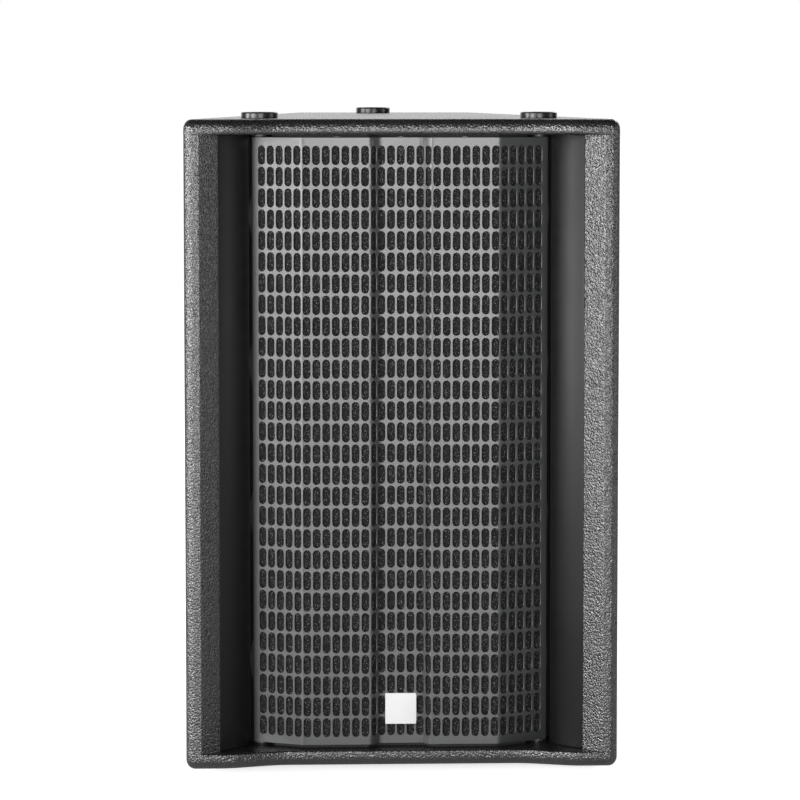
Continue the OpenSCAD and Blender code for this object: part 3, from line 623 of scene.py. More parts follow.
def side_board(word):
    name, flip = "side_board_" + word, Matrix.Diagonal((SIDES[word], 1, 1, 1))
    plan = [Vector((inner(DEPTH), DEPTH)), Vector((inner(CHEEK_SEAT), CHEEK_SEAT))]
    plan += [Vector((WING_HALF, BEVEL_DEPTH)), Vector((BEVEL_HALF, 0))]
    plan += wall_corners((BEVEL_HALF, 0))
    board = weld(loft(name, [raised(plan, FLOOR_Z), raised(plan, ROOF_Z)], flip))
    hole = [rounded_loop(HOLE_W, HOLE_H, CUP_R, z) for z in (-2 * BOARD, BOARD)]
    cutter = weld(loft(name + "_cutter", hole, on_side(SIDES[word])))
    cut = board.modifiers.new("handle hole", "BOOLEAN")
    cut.object, cut.operation, cut.solver = cutter, "DIFFERENCE", "EXACT"
    baked(board)
    bpy.data.objects.remove(cutter)
    return softened(board, 1.2 * MM, upright_only=True)


for word in SIDES:
    dress(side_board(word), "cabinet_paint", stands_for=["side_panel_" + word])

# %% [markdown]
# ## Flares
# Between the painted bevel and the sheet lies a smooth moulded flare, slightly hollow like the
# inside of a shallow dish. Its face is an arc between two points, given by the angle through
# which it turns.

# %% Flares
FLARE_HALF, FLARE_DEPTH, FLARE_TURN = 147.5 * MM, 49 * MM, radians(28)
FLARE_NOSE, FLARE_WALL, FLARE_GAP = 4 * MM, 8 * MM, 0.2 * MM
BAFFLE_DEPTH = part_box("baffle_board")[0].y - FRONT


def bowed(p, q, turn, steps=24):
    """Hollow arc from p to q that turns through an angle."""
    p, q = Vector(p), Vector(q)
    radius = (q - p).length / 2 / sin(turn / 2)
    side = turned((q - p).normalized(), pi / 2)
    centre = (p + q) / 2 + side * radius * cos(turn / 2)
    return [centre + turned(p - centre, turn * i / steps) for i in range(steps + 1)]


def flare(word):
    end, flip = Vector((FLARE_HALF, FLARE_DEPTH)), Matrix.Diagonal((SIDES[word], 1, 1, 1))
    plan = bowed(end, (WING_HALF, BEVEL_DEPTH), FLARE_TURN)
    plan += [Vector((inner(CHEEK_SEAT), CHEEK_SEAT)), Vector((inner(BAFFLE_DEPTH), BAFFLE_DEPTH))]
    plan += [Vector((FLARE_HALF + FLARE_WALL, BAFFLE_DEPTH)), end + Vector((0, FLARE_NOSE))]
    loops = [raised(plan, FLOOR_Z + FLARE_GAP), raised(plan, ROOF_Z - FLARE_GAP)]
    return softened(weld(loft("flare_face_" + word, loops, flip)), 0.8 * MM)


for word in SIDES:
    dress(flare(word), "flare_plastic", stands_for=["flare_" + word])

# %% [markdown]
# ## The sheet, punched flat and then bent
# A grille maker punches a flat sheet and folds it on a press brake, and the nodes do the same.
# One cell holds one slot. It is repeated over the flat sheet, welded to a solid border, and
# then every point is carried onto a folded path: its place along the sheet becomes a length
# along the path. The folds are filleted, as a brake leaves them.

# %% Flat cell and border
SHEET_T, EASE = 1.5 * MM, 0.25 * MM
COL_PITCH, ROW_PITCH, SLOT_W, SLOT_H = 9.52 * MM, 20.72 * MM, 7.3 * MM, 18.5 * MM
CENTRE_HALF, RECESS, STEP_ANGLE = 20.65 * MM, 8.2 * MM, radians(45)
MAIN_HALF, OUTER_LEN, OUTER_ANGLE = 96 * MM, 54 * MM, radians(26.5)
SHEET_DEPTH = SET_BACK + 15 * MM
STEP_LEN = RECESS / sin(STEP_ANGLE)
STEP_OUT = CENTRE_HALF + STEP_LEN * cos(STEP_ANGLE)
HALF_SHEET = CENTRE_HALF + STEP_LEN + MAIN_HALF - STEP_OUT + OUTER_LEN
SHEET_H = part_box("grille")[1].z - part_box("grille")[0].z
ROWS, COLUMNS = 28, 31
ARC_STEPS = 6  # a half circle of a slot
FOLD_R, FOLD_STEPS = 2.8 * MM, 4
print("sheet, flat", 2 * HALF_SHEET, SHEET_H)


def slot_ring(grow, level):
    """Outline of a slot with round ends, widened by grow."""
    r, straight = SLOT_W / 2 + grow, (SLOT_H - SLOT_W) / 2
    ring = []
    for end in (1, -1):
        for i in range(ARC_STEPS + 1):
            a = pi * i / ARC_STEPS + (0 if end > 0 else pi)
            ring.append((r * cos(a), end * straight + r * sin(a), level))
    return ring


def cell_ring(level):
    """Outline of a cell, with as many points as a slot's."""
    x, y, low = COL_PITCH / 2, ROW_PITCH / 2, (SLOT_H - SLOT_W) / 2
    upper = [(x, low), (x, y), (x / 2, y), (0, y), (-x / 2, y), (-x, y), (-x, low)]
    return [(px * s, py * s, level) for s in (1, -1) for px, py in upper]


def slot_cell():
    """Front face, eased edge, wall and back of one punched cell, open to its neighbours."""
    loops = [cell_ring(0), slot_ring(EASE, 0), slot_ring(0, EASE)]
    loops += [slot_ring(0, SHEET_T), cell_ring(SHEET_T)]
    return smooth(loft("slot_cell", loops, close=False))


def grid_rim(wide, high):
    """Numbers of the points round the edge of a grid, counter-clockwise."""
    rim = list(range(wide)) + [j * wide + wide - 1 for j in range(1, high)]
    rim += [(high - 1) * wide + i for i in range(wide - 2, -1, -1)]
    return rim + [j * wide for j in range(high - 2, 0, -1)]


def sheet_border():
    """Solid margin round the punched field, with points that meet those of the cells."""
    columns = [(k / 4 - COLUMNS / 2) * COL_PITCH for k in range(4 * COLUMNS + 1)]
    low = (SLOT_H - SLOT_W) / 2
    rows = [-ROWS / 2 * ROW_PITCH]
    for r in range(ROWS):
        middle = (r - (ROWS - 1) / 2) * ROW_PITCH
        rows += [middle - low, middle + low, middle + ROW_PITCH / 2]
    points, faces = [], []

    def layer(edge, level):
        xs = [-HALF_SHEET + edge, *columns, HALF_SHEET - edge]
        ys = [-SHEET_H / 2 + edge, *rows, SHEET_H / 2 - edge]
        start = len(points)
        points.extend((x, y, level) for y in ys for x in xs)
        return start, len(xs), len(ys)

    front, wide, high = layer(EASE, 0)
    back = layer(0, SHEET_T)[0]
    for start, flip in ((front, True), (back, False)):
        for j in range(high - 1):
            for i in range(wide - 1):
                if i in (0, wide - 2) or j in (0, high - 2):
                    a = start + j * wide + i
                    quad = (a, a + 1, a + wide + 1, a + wide)
                    faces.append(tuple(reversed(quad)) if flip else quad)
    ring, rim = grid_rim(wide, high), len(points)
    points.extend((points[back + i][0], points[back + i][1], EASE) for i in ring)
    count = len(ring)
    for i in range(count):
        k = (i + 1) % count
        faces.append((front + ring[i], front + ring[k], rim + k, rim + i))
        faces.append((rim + i, rim + k, back + ring[k], back + ring[i]))
    return mesh_object("sheet_border", points, faces)


# %% The folded path
def fold_line(offset=0.0):
    """Right half of the folded plan, moved back by an offset square to each facet."""
    angles = [0, -STEP_ANGLE, 0, OUTER_ANGLE]
    lengths = [CENTRE_HALF, STEP_LEN, MAIN_HALF - STEP_OUT, OUTER_LEN]
    at = Vector((0, SHEET_DEPTH + RECESS))
    corners = [at]
    for angle, length in zip(angles, lengths):
        at = at + turned(Vector((length, 0)), angle)
        corners.append(at)
    line = []
    for i, corner in enumerate(corners):
        a, b = angles[max(i - 1, 0)], angles[min(i, len(angles) - 1)]
        reach = offset / cos((b - a) / 2)
        line.append(corner + turned(Vector((0, reach)), (a + b) / 2))
    return line


def folded_path():
    """The whole plan as a curve, its folds still sharp."""
    half = fold_line()
    corners = mirrored(half[1:]) + half[1:]
    curve = bpy.data.curves.new("fold_path", "CURVE")
    curve.dimensions = "3D"
    spline = curve.splines.new("POLY")
    spline.points.add(len(corners) - 1)
    for point, corner in zip(spline.points, corners):
        point.co = (corner.x, corner.y + FRONT, 0, 1)
    return in_scene("fold_path", curve)


# %% [markdown]
# The tree below has one input for each size, so the same nodes would make any other bent
# sheet: the number of columns and rows, their pitch, the radius of the folds, and the three
# objects it works from.


# %% Node tree of the bent sheet
class Nodes(Graph):
    """A Geometry Nodes tree with named inputs."""

    def __init__(self, name, inputs):
        super().__init__(bpy.data.node_groups.new(name, "GeometryNodeTree"))
        self.ids = {}
        for label, kind in inputs.items():
            item = self.tree.interface.new_socket(label, in_out="INPUT", socket_type=kind)
            self.ids[label] = item.identifier
        self.tree.interface.new_socket("Geometry", in_out="OUTPUT", socket_type="NodeSocketGeometry")
        self.given = self.tree.nodes.new("NodeGroupInput")
        self.result = self.tree.nodes.new("NodeGroupOutput")

    def input(self, label):
        return Value(self, self.given.outputs[label])

    def vector(self, operation, first, second):
        return self.node("ShaderNodeVectorMath", {"operation": operation}, {0: first, 1: second})

    def part(self, label):
        """Geometry of the object that an input names."""
        links = {"Object": self.input(label)}
        return self.node("GeometryNodeObjectInfo", None, links, out="Geometry")

    def finish(self, geometry, material):
        """Every tree ends with real geometry that has its material."""
        real = self.node("GeometryNodeRealizeInstances", None, {0: geometry})
        coloured = self.node("GeometryNodeSetMaterial", None, {0: real, "Material": material})
        self.put(self.result.inputs[0], coloured)

    def run(self, name, values):
        """Runs the tree on an empty object and returns the result as a plain mesh object."""
        holder = mesh_object(name, [(0, 0, 0)], [])
        modifier = holder.modifiers.new("nodes", "NODES")
        modifier.node_group = self.tree
        for label, value in values.items():
            modifier[self.ids[label]] = value
        return baked(holder)


# %% Punched field and fold, as nodes
TOUCHING = 0.01 * MM


def bending_tree():
    kinds = dict.fromkeys(("Cell", "Border", "Path"), "NodeSocketObject")
    kinds.update(dict.fromkeys(("Columns", "Rows"), "NodeSocketInt"))
    sizes = ("Column pitch", "Row pitch", "Fold radius", "Half length", "Middle height")
    kinds.update(dict.fromkeys(sizes, "NodeSocketFloat"), Coat="NodeSocketMaterial")
    n = Nodes("bent_sheet", kinds)
    columns, rows = n.input("Columns"), n.input("Rows")
    grid = {"Size X": n.input("Column pitch") * (columns - 1), "Vertices X": columns}
    grid.update({"Size Y": n.input("Row pitch") * (rows - 1), "Vertices Y": rows})
    places = n.node("GeometryNodeMeshGrid", None, grid)
    repeated = {"Points": places, "Instance": n.part("Cell")}
    cells = n.node("GeometryNodeInstanceOnPoints", None, repeated)
    field = n.node("GeometryNodeRealizeInstances", None, {0: cells})
    flat = n.node("GeometryNodeJoinGeometry", None, {0: [field, n.part("Border")]})
    flat = n.node("GeometryNodeMergeByDistance", None, {0: flat, "Distance": TOUCHING})
    folds = {0: n.part("Path"), "Radius": n.input("Fold radius"), "Count": FOLD_STEPS}
    path = n.node("GeometryNodeFilletCurve", {"mode": "POLY"}, folds)
    at = n.node("ShaderNodeSeparateXYZ", None, {0: n.node("GeometryNodeInputPosition")})
    share = at.also("X") / (n.input("Half length") * 2) + 0.5
    by_share, on_path = {"mode": "FACTOR", "use_all_curves": True}, {"Curves": path, "Factor": share}
    sample = n.node("GeometryNodeSampleCurve", by_share, on_path)
    inward = n.vector("CROSS_PRODUCT", (0, 0, 1), sample.also("Tangent"))
    inward = n.vector("NORMALIZE", inward, (0, 0, 0))
    through = {0: inward, "Scale": at.also("Z")}
    moved = n.node("ShaderNodeVectorMath", {"operation": "SCALE"}, through)
    level = at.also("Y") + n.input("Middle height")
    upright = n.node("ShaderNodeCombineXYZ", None, {"Z": level})
    place = n.vector("ADD", n.vector("ADD", sample.also("Position"), moved), upright)
    bent = n.node("GeometryNodeSetPosition", None, {0: flat, "Position": place})
    n.finish(bent, n.input("Coat"))
    return n


# %% Punch and bend the sheet
cell, border, path = slot_cell(), sheet_border(), folded_path()
sheet = bending_tree().run(
    "punched_sheet",
    {
        "Cell": cell, "Border": border, "Path": path, "Columns": COLUMNS, "Rows": ROWS,
        "Column pitch": COL_PITCH, "Row pitch": ROW_PITCH, "Fold radius": FOLD_R,
        "Half length": HALF_SHEET, "Middle height": MIDDLE_Z,
        "Coat": FINISHES["grille_coat"].material,
    },
)
for helper in (cell, border, path):
    bpy.data.objects.remove(helper)
weld(sheet)
dress(smooth(sheet, 25), "grille_coat", stands_for=["grille"])

# %% [markdown]
# ## Foam behind the slots
# Thin open-cell foam is glued behind the sheet. What shows through a slot is its rough face,
# so the face is a fine grid pushed in and out by noise, and the pores are left to the material,
# which also paints glints on their tips in lit patches.

# %% Foam
FOAM_T, FOAM_OFF, FOAM_ACROSS, FOAM_UP = 5 * MM, 0.75 * MM, 150, 300
DENT, DENT_SCALE, DENT_FALL, DENT_STEP, DENT_LAYERS = 0.5 * MM, 260, 0.6, 2.0, 3


def folded_point(half, length):
    """Point at a length from the middle of the folded plan, on either side."""
    side, left = (1 if length >= 0 else -1), abs(length)
    for a, b in zip(half, half[1:]):
        span = (b - a).length
        if left <= span or b is half[-1]:
            at = a + (b - a) * (left / span)
            return Vector((side * at.x, at.y))
        left -= span


def foam_points(line, rough):
    """Grid of points over the folded plan, pushed in and out by noise where it is rough."""
    reach = sum((b - a).length for a, b in zip(line, line[1:]))
    for j in range(FOAM_UP + 1):
        z = MIDDLE_Z + (j / FOAM_UP - 0.5) * SHEET_H
        for i in range(FOAM_ACROSS + 1):
            p = folded_point(line, (2 * i / FOAM_ACROSS - 1) * reach)
            at = Vector((p.x, z, 0)) * DENT_SCALE
            push = rough * noise.fractal(at, DENT_FALL, DENT_STEP, DENT_LAYERS)
            yield p.x, p.y + push + FRONT, z


def foam_sheet():
    points = list(foam_points(fold_line(SHEET_T + FOAM_OFF), DENT))
    points += foam_points(fold_line(SHEET_T + FOAM_T), 0)
    wide, size = FOAM_ACROSS + 1, len(points) // 2
    faces = []
    for j in range(FOAM_UP):
        for i in range(FOAM_ACROSS):
            a = j * wide + i
            faces.append((a, a + 1, a + wide + 1, a + wide))
            faces.append((size + a, size + a + wide, size + a + wide + 1, size + a + 1))
    ring = grid_rim(wide, FOAM_UP + 1)
    for i, a in enumerate(ring):
        b = ring[(i + 1) % len(ring)]
        faces.append((b, a, size + a, size + b))
    return smooth(mesh_object("foam_sheet", points, faces), 60)


foam = dress(foam_sheet(), "foam", stands_for=["grille_foam"])

# %% [markdown]
# ## The bare plate on the sheet
# A small white plate sits at the foot of the recessed facet. Its face is left bare, and a
# narrow easing of its edge catches the light.

# %% Bare plate
low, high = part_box("badge_plate")
PLATE_W, PLATE_T = high.x - low.x, high.y - low.y
FACING = Matrix.Rotation(radians(90), 4, "X")


def bare_plate():
    place = Matrix.Translation(((low.x + high.x) / 2, high.y, (low.z + high.z) / 2)) @ FACING
    levels = [(0, 0), (0, PLATE_T - 0.35 * MM), (0.12 * MM, PLATE_T - 0.1 * MM), (0.4 * MM, PLATE_T)]
    loops = [rounded_loop(PLATE_W - 2 * e, PLATE_W - 2 * e, 1.2 * MM, z) for e, z in levels]
    return smooth(weld(loft("bare_plate", loops, place)))


dress(bare_plate(), "badge_white", stands_for=["badge_plate"])

# %% [markdown]
# ## Rubber rings over the rigging bushes
# Three rings stand on the top and three under the bottom. Each is a turned profile with a
# rounded shoulder and a bore that leads to the threaded bush.

# %% Rings
RING_R, BORE_R, RING_H = 18 * MM, 9 * MM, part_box("feet_top")[1].z - TOP_Z
FRONT_RING_X, REAR_RING_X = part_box("feet_top")[1].x - RING_R, -13 * MM
FRONT_RING_DEPTH, REAR_RING_DEPTH = 74 * MM, DEPTH - 45 * MM
RING_PLACES = [(side * FRONT_RING_X, FRONT_RING_DEPTH) for side in (1, -1)]
RING_PLACES.append((REAR_RING_X, REAR_RING_DEPTH))
RING_FOOT, RING_SHOULDER, RING_MOUTH = 0.4 * MM, 1.4 * MM, 1.2 * MM


def ring_profile(steps=5):
    profile = [(BORE_R, 0), (RING_R - RING_FOOT, 0), (RING_R, RING_FOOT)]
    for i in range(steps + 1):
        a = pi / 2 * i / steps
        radius = RING_R - RING_SHOULDER * (1 - cos(a))
        profile.append((radius, RING_H - RING_SHOULDER * (1 - sin(a))))
    return profile + [(BORE_R + RING_MOUTH, RING_H), (BORE_R, RING_H - RING_MOUTH)]


def joined(name, objects):
    """Joins objects into the first and names it."""
    chosen = {"selected_objects": objects, "selected_editable_objects": objects}
    with bpy.context.temp_override(active_object=objects[0], **chosen):
        bpy.ops.object.join()
    objects[0].name = objects[0].data.name = name
    return objects[0]


for board, level, way in (("top", TOP_Z, 1), ("bottom", BOTTOM_Z, -1)):
    rings = []
    for x, depth in RING_PLACES:
        place = Matrix.Translation((x, depth + FRONT, level)) @ Matrix.Diagonal((1, 1, way, 1))
        rings.append(lathe("ring", ring_profile(), place, 64))
    dress(joined("rings_" + board, rings), "foot_rubber", stands_for=["feet_" + board])

# %% [markdown]
# ## Handles
# A pressed cup sits in each side board, with a bar across it. The cup is one stack of rounded
# rectangles: up its outer wall, over the flange, down its inner wall and across the floor.

# %% Handle cups
FLANGE_W, FLANGE_H = GRIP_W + 2 * CUP_T + 33 * MM, GRIP_H + 2 * CUP_T + 33 * MM


def handle_cup(side):
    def ring(grow, level, radius):
        return rounded_loop(GRIP_W + grow, GRIP_H + grow, radius, level, 8)

    def flange(less, level):
        return rounded_loop(FLANGE_W - less, FLANGE_H - less, CUP_R + 4 * MM, level, 8)

    inside_r, floor = CUP_R - CUP_T, CUP_T - CUP_D
    loops = [ring(2 * CUP_T - 8 * MM, -CUP_D, inside_r), ring(2 * CUP_T, -CUP_D + 4 * MM, CUP_R)]
    loops += [ring(2 * CUP_T, 0, CUP_R), flange(0, 0), flange(0, CUP_T - 0.8 * MM)]
    loops += [flange(0.5 * MM, CUP_T - 0.25 * MM), flange(1.8 * MM, CUP_T)]
    loops += [ring(3 * MM, CUP_T, inside_r + 1.5 * MM), ring(0.9 * MM, CUP_T - 0.45 * MM, inside_r)]
    loops += [ring(0, CUP_T - 1.5 * MM, inside_r), ring(0, floor + 5 * MM, inside_r)]
    loops += [ring(-3 * MM, floor + 1.5 * MM, inside_r), ring(-9 * MM, floor, inside_r - 2 * MM)]
    return smooth(weld(loft("handle_cup", loops, on_side(side))), 50)


cups = joined("handle_cups_pressed", [handle_cup(1), handle_cup(-1)])
dress(cups, "handle_coat", stands_for=["handle_cups"])

# %% Grip bars
BAR_R, BAR_CORE_R, BAR_END = 10 * MM, 7.8 * MM, 6 * MM
BAR_Y = GRIP_H / 2 - BAR_R - 14 * MM
BAR_TAPER, GROOVE, GROOVES, GROOVES_FROM, GROOVES_TO = 1.2 * MM, 0.25 * MM, 10, 0.12, 0.88


def grip_bar(side, steps=60):
    """Core with a sleeve that tapers at its ends and has shallow grooves for the fingers."""
    half = GRIP_W / 2
    profile = [(0, -half), (BAR_CORE_R, -half), (BAR_CORE_R, BAR_END - half)]
    for i in range(steps + 1):
        at = i / steps
        z = (at - 0.5) * (GRIP_W - 2 * BAR_END)
        full = min(1, 12 * at, 12 * (1 - at))
        wave = 1 + cos(at * tau * GROOVES)
        groove = GROOVE * wave * (GROOVES_FROM < at < GROOVES_TO)
        profile.append((BAR_R - BAR_TAPER * (1 - full) - groove, z))
    profile += [(BAR_CORE_R, half - BAR_END), (BAR_CORE_R, half), (0, half)]
    lay = Matrix.Translation((0, BAR_Y, -BAR_R)) @ Matrix.Rotation(radians(90), 4, "Y")
    return lathe("grip_bar", profile, on_side(side) @ lay, 40)


bars = joined("grip_bars", [grip_bar(1), grip_bar(-1)])
dress(bars, "handle_grip", stands_for=["handle_bars"])

# %% [markdown]
# ## Screws
# All screws of one size are one small mesh, repeated by nodes at points that carry the
# direction of their axis. The head is domed and has a six-sided socket.


# %% Screw heads
def screw_head(radius, height):
    """Domed head about +Z, its seat at z = 0, with a hexagon socket."""
    socket, deep, steps = radius * 0.48, height * 0.6, 24
    turns = [tau * i / steps for i in range(steps)]

    def circle(r, z):
        return [(r * cos(a), r * sin(a), z) for a in turns]

    def hexagon(r, z):
        ring = []
        for a in turns:
            reach = r * cos(pi / 6) / cos((a % (pi / 3)) - pi / 6)
            ring.append((reach * cos(a), reach * sin(a), z))
        return ring

    loops = [circle(radius, 0), circle(radius, height * 0.35), circle(radius * 0.93, height * 0.7)]
    loops += [circle(radius * 0.75, height * 0.94), circle(socket * 1.25, height)]
    loops += [hexagon(socket, height), hexagon(socket, height - deep)]
    loops += [hexagon(socket * 0.3, height - deep * 1.15)]
    return smooth(weld(loft("screw_head", loops)))


# %% Screws at their seats
def screw_tree():
    kinds = dict.fromkeys(("Points", "Head"), "NodeSocketObject")
    n = Nodes("screws", {**kinds, "Coat": "NodeSocketMaterial"})
    vector = {"data_type": "FLOAT_VECTOR"}
    axis = n.node("GeometryNodeInputNamedAttribute", vector, {"Name": "axis"})
    turn = n.node("FunctionNodeAlignRotationToVector", {"axis": "Z"}, {"Vector": axis})
    heads = {"Points": n.part("Points"), "Instance": n.part("Head"), "Rotation": turn}
    n.finish(n.node("GeometryNodeInstanceOnPoints", None, heads), n.input("Coat"))
    return n


SCREWS = screw_tree()


def screws(name, radius, height, seats, node):
    """seats is a list of (point, axis)."""
    points = mesh_object(name + "_seats", [p for p, _ in seats], [])
    axes = points.data.attributes.new("axis", "FLOAT_VECTOR", "POINT")
    axes.data.foreach_set("vector", [c for _, axis in seats for c in axis])
    head = screw_head(radius, height)
    black = FINISHES["black_screws"].material
    made = SCREWS.run(name, {"Points": points, "Head": head, "Coat": black})
    for helper in (points, head):
        bpy.data.objects.remove(helper)
    return dress(smooth(made), "black_screws", stands_for=[node])


SEAT_X, SEAT_Y = FLANGE_W / 2 - 9 * MM, FLANGE_H / 2 - 9 * MM
handle_seats = []
for side in (1, -1):
    place = on_side(side)
    out = (place.to_3x3() @ Vector((0, 0, 1))).normalized()
    for x in (SEAT_X, -SEAT_X):
        handle_seats += [(place @ Vector((x, y, CUP_T)), out) for y in (SEAT_Y, -SEAT_Y)]
screws("handle_screw_heads", 4.5 * MM, 2.7 * MM, handle_seats, "handle_screws")

# %% [markdown]
# ## The amplifier's face
# Seen from behind, everything sits on one powder-coated plate. Places on it are given as
# (right, up) from its middle, as somebody who stands behind the cabinet would say them.

# %% Amplifier face
PLATE_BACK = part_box("amp_plate")[1].y
PLATE_SCREW_X, PLATE_SCREW_PITCH, PLATE_SCREW_ROWS = 69 * MM, 79.5 * MM, 5


def behind(right=0.0, up=0.0, out=0.0):
    """Matrix on the amplifier's plate: +X right and +Y up as seen from behind, +Z out."""
    turn = Matrix(((-1, 0, 0), (0, 0, 1), (0, 1, 0))).to_4x4()
    return Matrix.Translation((-right, PLATE_BACK + out, MIDDLE_Z + up)) @ turn


plate_seats = []
for x in (PLATE_SCREW_X, -PLATE_SCREW_X):
    for i in range(PLATE_SCREW_ROWS):
        up = (i - PLATE_SCREW_ROWS // 2) * PLATE_SCREW_PITCH
        plate_seats.append((behind(x, up).to_translation(), (0, 1, 0)))
screws("plate_screw_heads", 3.5 * MM, 2.1 * MM, plate_seats, "plate_screws")

# %% [markdown]
# The knob is a stack of rings whose flutes are cut by a cosine, raised to a power so that
# lands remain between them. A pointer turns with it, and the dial's marks stay on the plate.

# %% Knob and dial
KNOB_AT, KNOB_R, FLUTES, FLUTE_D = (8 * MM, 128 * MM), 9 * MM, 12, 0.6 * MM
DIAL_MARKS, DIAL_START, DIAL_STEP = 11, 150, 30


def fluted_knob(steps=96):
    """Knob with flutes round its side, its rim eased."""

    def ring(r, z, depth=0.0):
        loop = []
        for i in range(steps):
            a = tau * i / steps
            cut = depth * max(0, cos(FLUTES * a)) ** 2
            loop.append(((r - cut) * cos(a), (r - cut) * sin(a), z))
        return loop

    loops = [ring(KNOB_R, 0.8 * MM), ring(KNOB_R, 1.8 * MM)]
    loops += [ring(KNOB_R - 0.2 * MM, 2.2 * MM, FLUTE_D), ring(KNOB_R - 0.7 * MM, 6.6 * MM, FLUTE_D)]
    loops += [ring(KNOB_R - 1.2 * MM, 7.2 * MM, FLUTE_D / 2), ring(KNOB_R - 2 * MM, 7.5 * MM)]
    loops += [ring(KNOB_R - 3 * MM, 7.3 * MM), ring(1 * MM, 7.2 * MM)]
    return smooth(weld(loft("fluted_knob", loops, behind(*KNOB_AT))))


def bar_mesh(name, width, length, thick, place):
    """Small printed bar with round ends."""
    loops = [rounded_loop(width, length, width * 0.4, z, 3) for z in (0, thick)]
    return smooth(weld(loft(name, loops, place)))


dress(fluted_knob(), "knob_plastic", "gain_knob", ["gain_knob"])
pointer_place = behind(*KNOB_AT) @ Matrix.Translation((0, KNOB_R - 4 * MM, 7.2 * MM))
pointer = bar_mesh("knob_pointer", 0.9 * MM, 4.4 * MM, 0.4 * MM, pointer_place)
dress(pointer, "print_white", "gain_knob")

marks = []
for i in range(DIAL_MARKS):
    angle = radians(DIAL_START - DIAL_STEP * i)
    spin = Matrix.Rotation(angle, 4, "Z") @ Matrix.Translation((0, KNOB_R + 3.4 * MM, 0))
    marks.append(bar_mesh("mark", 0.6 * MM, 2.4 * MM, 0.08 * MM, behind(*KNOB_AT) @ spin))
dress(joined("dial_marks", marks), "print_white")

# %% [markdown]
# ## Floor, light and camera
# Black paint shows little of its own colour: what is seen is what it mirrors. So the studio is
# laid out by what each face should mirror. A soft panel in front lights the faces that look at
# the camera, one on the left those that turn left, and a narrow strip between them the folds.
# A panel far out on each side draws the bevels and the cheeks, and one behind lights the
# amplifier's face. The air is white only straight behind, and the ceiling is dark. To the
# camera the floor is white but for a soft shade at the cabinet, and the paint mirrors it
# bright only well ahead of the front.

# %% Floor
WHITE, SHADE = 1.0, 0.72  # the floor as the camera sees it, far off and at the cabinet
SHINE, GLOOM = 0.62, 0.12  # the floor as the paint mirrors it, well ahead and at the front
FLOOR_HALF = 30.0


def stage_floor():
    """White floor that fades into the background, its glow lowered near the cabinet as a painted
    shade over which the real shadow also falls.
    """
    corners = [(x * FLOOR_HALF, y * FLOOR_HALF, 0) for x, y in ((-1, -1), (1, -1), (1, 1), (-1, 1))]
    floor = mesh_object("floor", corners, [(0, 1, 2, 3)])
    cloth = Finish("floor_pale")
    cloth.set(Base_Color=grey(0.8), Roughness=0.9)
    away = cloth.node("ShaderNodeVectorMath", {"operation": "LENGTH"}, {0: cloth.place}, out="Value")
    # Near the cabinet the floor glows less to the camera: a painted shade, which lets the real
    # shadow show.
    glow = cloth.fade(away, 0.2, 0.55, SHADE, WHITE)
    ahead = cloth.node("ShaderNodeSeparateXYZ", None, {0: cloth.place}, out="Y")
    mirrored_glow = cloth.fade(ahead, -0.35, -0.9, GLOOM, SHINE)
    seen = cloth.node("ShaderNodeLightPath", out="Is Camera Ray")
    strength = seen * (glow - mirrored_glow) + mirrored_glow
    light = cloth.node("ShaderNodeEmission", None, {"Strength": strength})
    summed = {0: Value(cloth, cloth.shader.outputs[0]), 1: light}
    both = cloth.node("ShaderNodeAddShader", None, summed)
    cloth.put(cloth.tree.nodes["Material Output"].inputs[0], both)
    floor.data.materials.append(cloth.material)
    floor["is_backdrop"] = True


# %% Lamps and air
MIDDLE = Vector((0, 0, MIDDLE_Z))
LAMPS = {  # place, width and height, glow
    "front_soft": ((0.35, -4.4, 0.65), (1.8, 1.1), 12.8),
    "fold_strip": ((-1.75, -4.0, 0.8), (0.4, 1.8), 10.0),
    "left_soft": ((-3.1, -3.45, 0.8), (1.6, 1.3), 20.0),
    "left_strip": ((-4.15, -0.9, 0.8), (1.4, 1.4), 18.0),
    "back_soft": ((1.9, 3.0, 2.4), (1.6, 1.2), 7.0),
    "right_strip": ((4.15, -0.9, 0.8), (1.4, 1.4), 3.3),
}


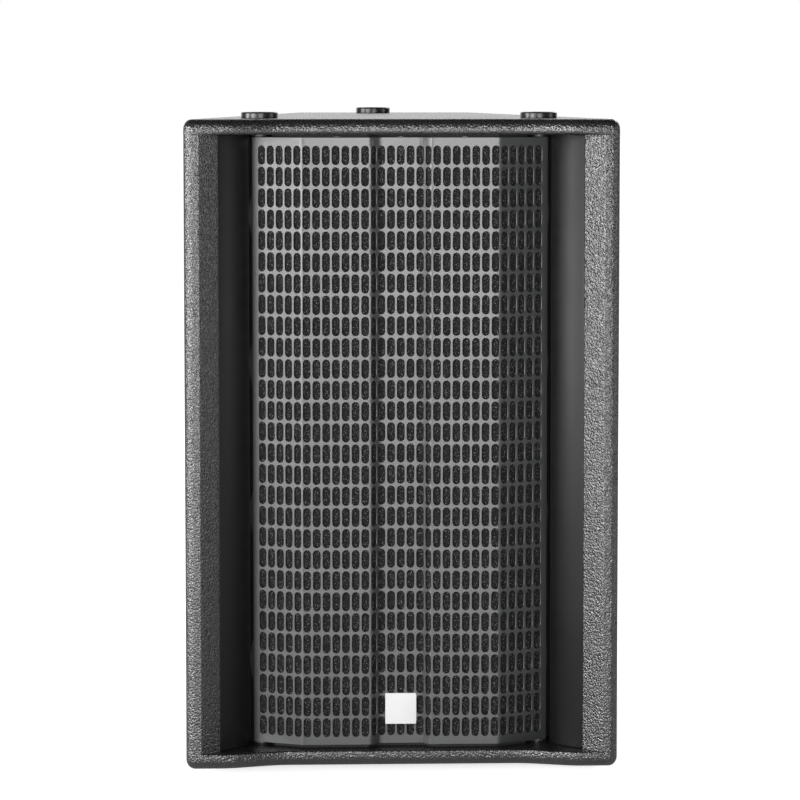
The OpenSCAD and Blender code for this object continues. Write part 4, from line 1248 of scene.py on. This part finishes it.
def lamp(name, place, size, glow):
    """Soft lamp that looks at the middle, of a given brightness whatever its size."""
    light = bpy.data.lights.new(name, "AREA")
    light.shape, light.size, light.size_y = "RECTANGLE", size[0], size[1]
    light.energy = glow * pi * size[0] * size[1]
    obj = in_scene(name, light)
    obj.location = place
    obj.rotation_euler = (MIDDLE - Vector(place)).to_track_quat("-Z", "Y").to_euler()


def studio_air(front=0.05, back=1.2):
    """White to the camera; to all else white low behind, dimmer to the right, dark in front."""
    world = bpy.data.worlds.new("studio_air")
    world.use_nodes = True
    air = Graph(world.node_tree)
    ground, output = air.tree.nodes["Background"], air.tree.nodes["World Output"]
    way = air.node("ShaderNodeTexCoord", out="Generated")
    split = air.node("ShaderNodeSeparateXYZ", None, {0: way})
    rear = air.fade(split.also("Y"), 0.5, 0.85, front, back)
    low = air.fade(split.also("Z"), 0.35, 0.7, 1.0, 0.1)
    left = air.fade(split.also("X"), 0.3, 0.8, 1.0, 0.35)
    seen = air.node("ShaderNodeBackground", None, {"Strength": WHITE, "Color": grey(1.0)})
    air.put(ground.inputs["Strength"], rear * low * left)
    air.put(ground.inputs["Color"], grey(1.0))
    camera_ray = air.node("ShaderNodeLightPath", out="Is Camera Ray")
    both = {0: camera_ray, 1: Value(air, ground.outputs[0]), 2: seen}
    air.put(output.inputs[0], air.node("ShaderNodeMixShader", None, both))
    bpy.context.scene.world = world


stage_floor()
studio_air()
for name, (place, size, glow) in LAMPS.items():
    lamp(name, place, size, glow)
print(len(LAMPS), "lamps")

# %% [markdown]
# ## Camera
# A long lens from three and a half metres keeps the sides nearly upright. The camera stands a
# little left of the middle and just above the top, so a sliver of the top shows.

# %% Camera
CAMERA_BACK, CAMERA_LEFT, CAMERA_Z = 3.564, 0.154, 0.6916
FOCAL, TILT, TURN = 167.21, 0.0910, 0.0425
camera_data = bpy.data.cameras.new("camera")
camera_data.lens = FOCAL
camera = in_scene("camera", camera_data)
camera.location = (-CAMERA_LEFT, FRONT - CAMERA_BACK, CAMERA_Z)
camera.rotation_euler = (pi / 2 - TILT, 0, -TURN)
bpy.context.scene.camera = camera
bpy.context.scene.view_settings.view_transform = "Standard"

# %% Sizes and end
low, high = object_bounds()
print("visual box", tuple(low), tuple(high))
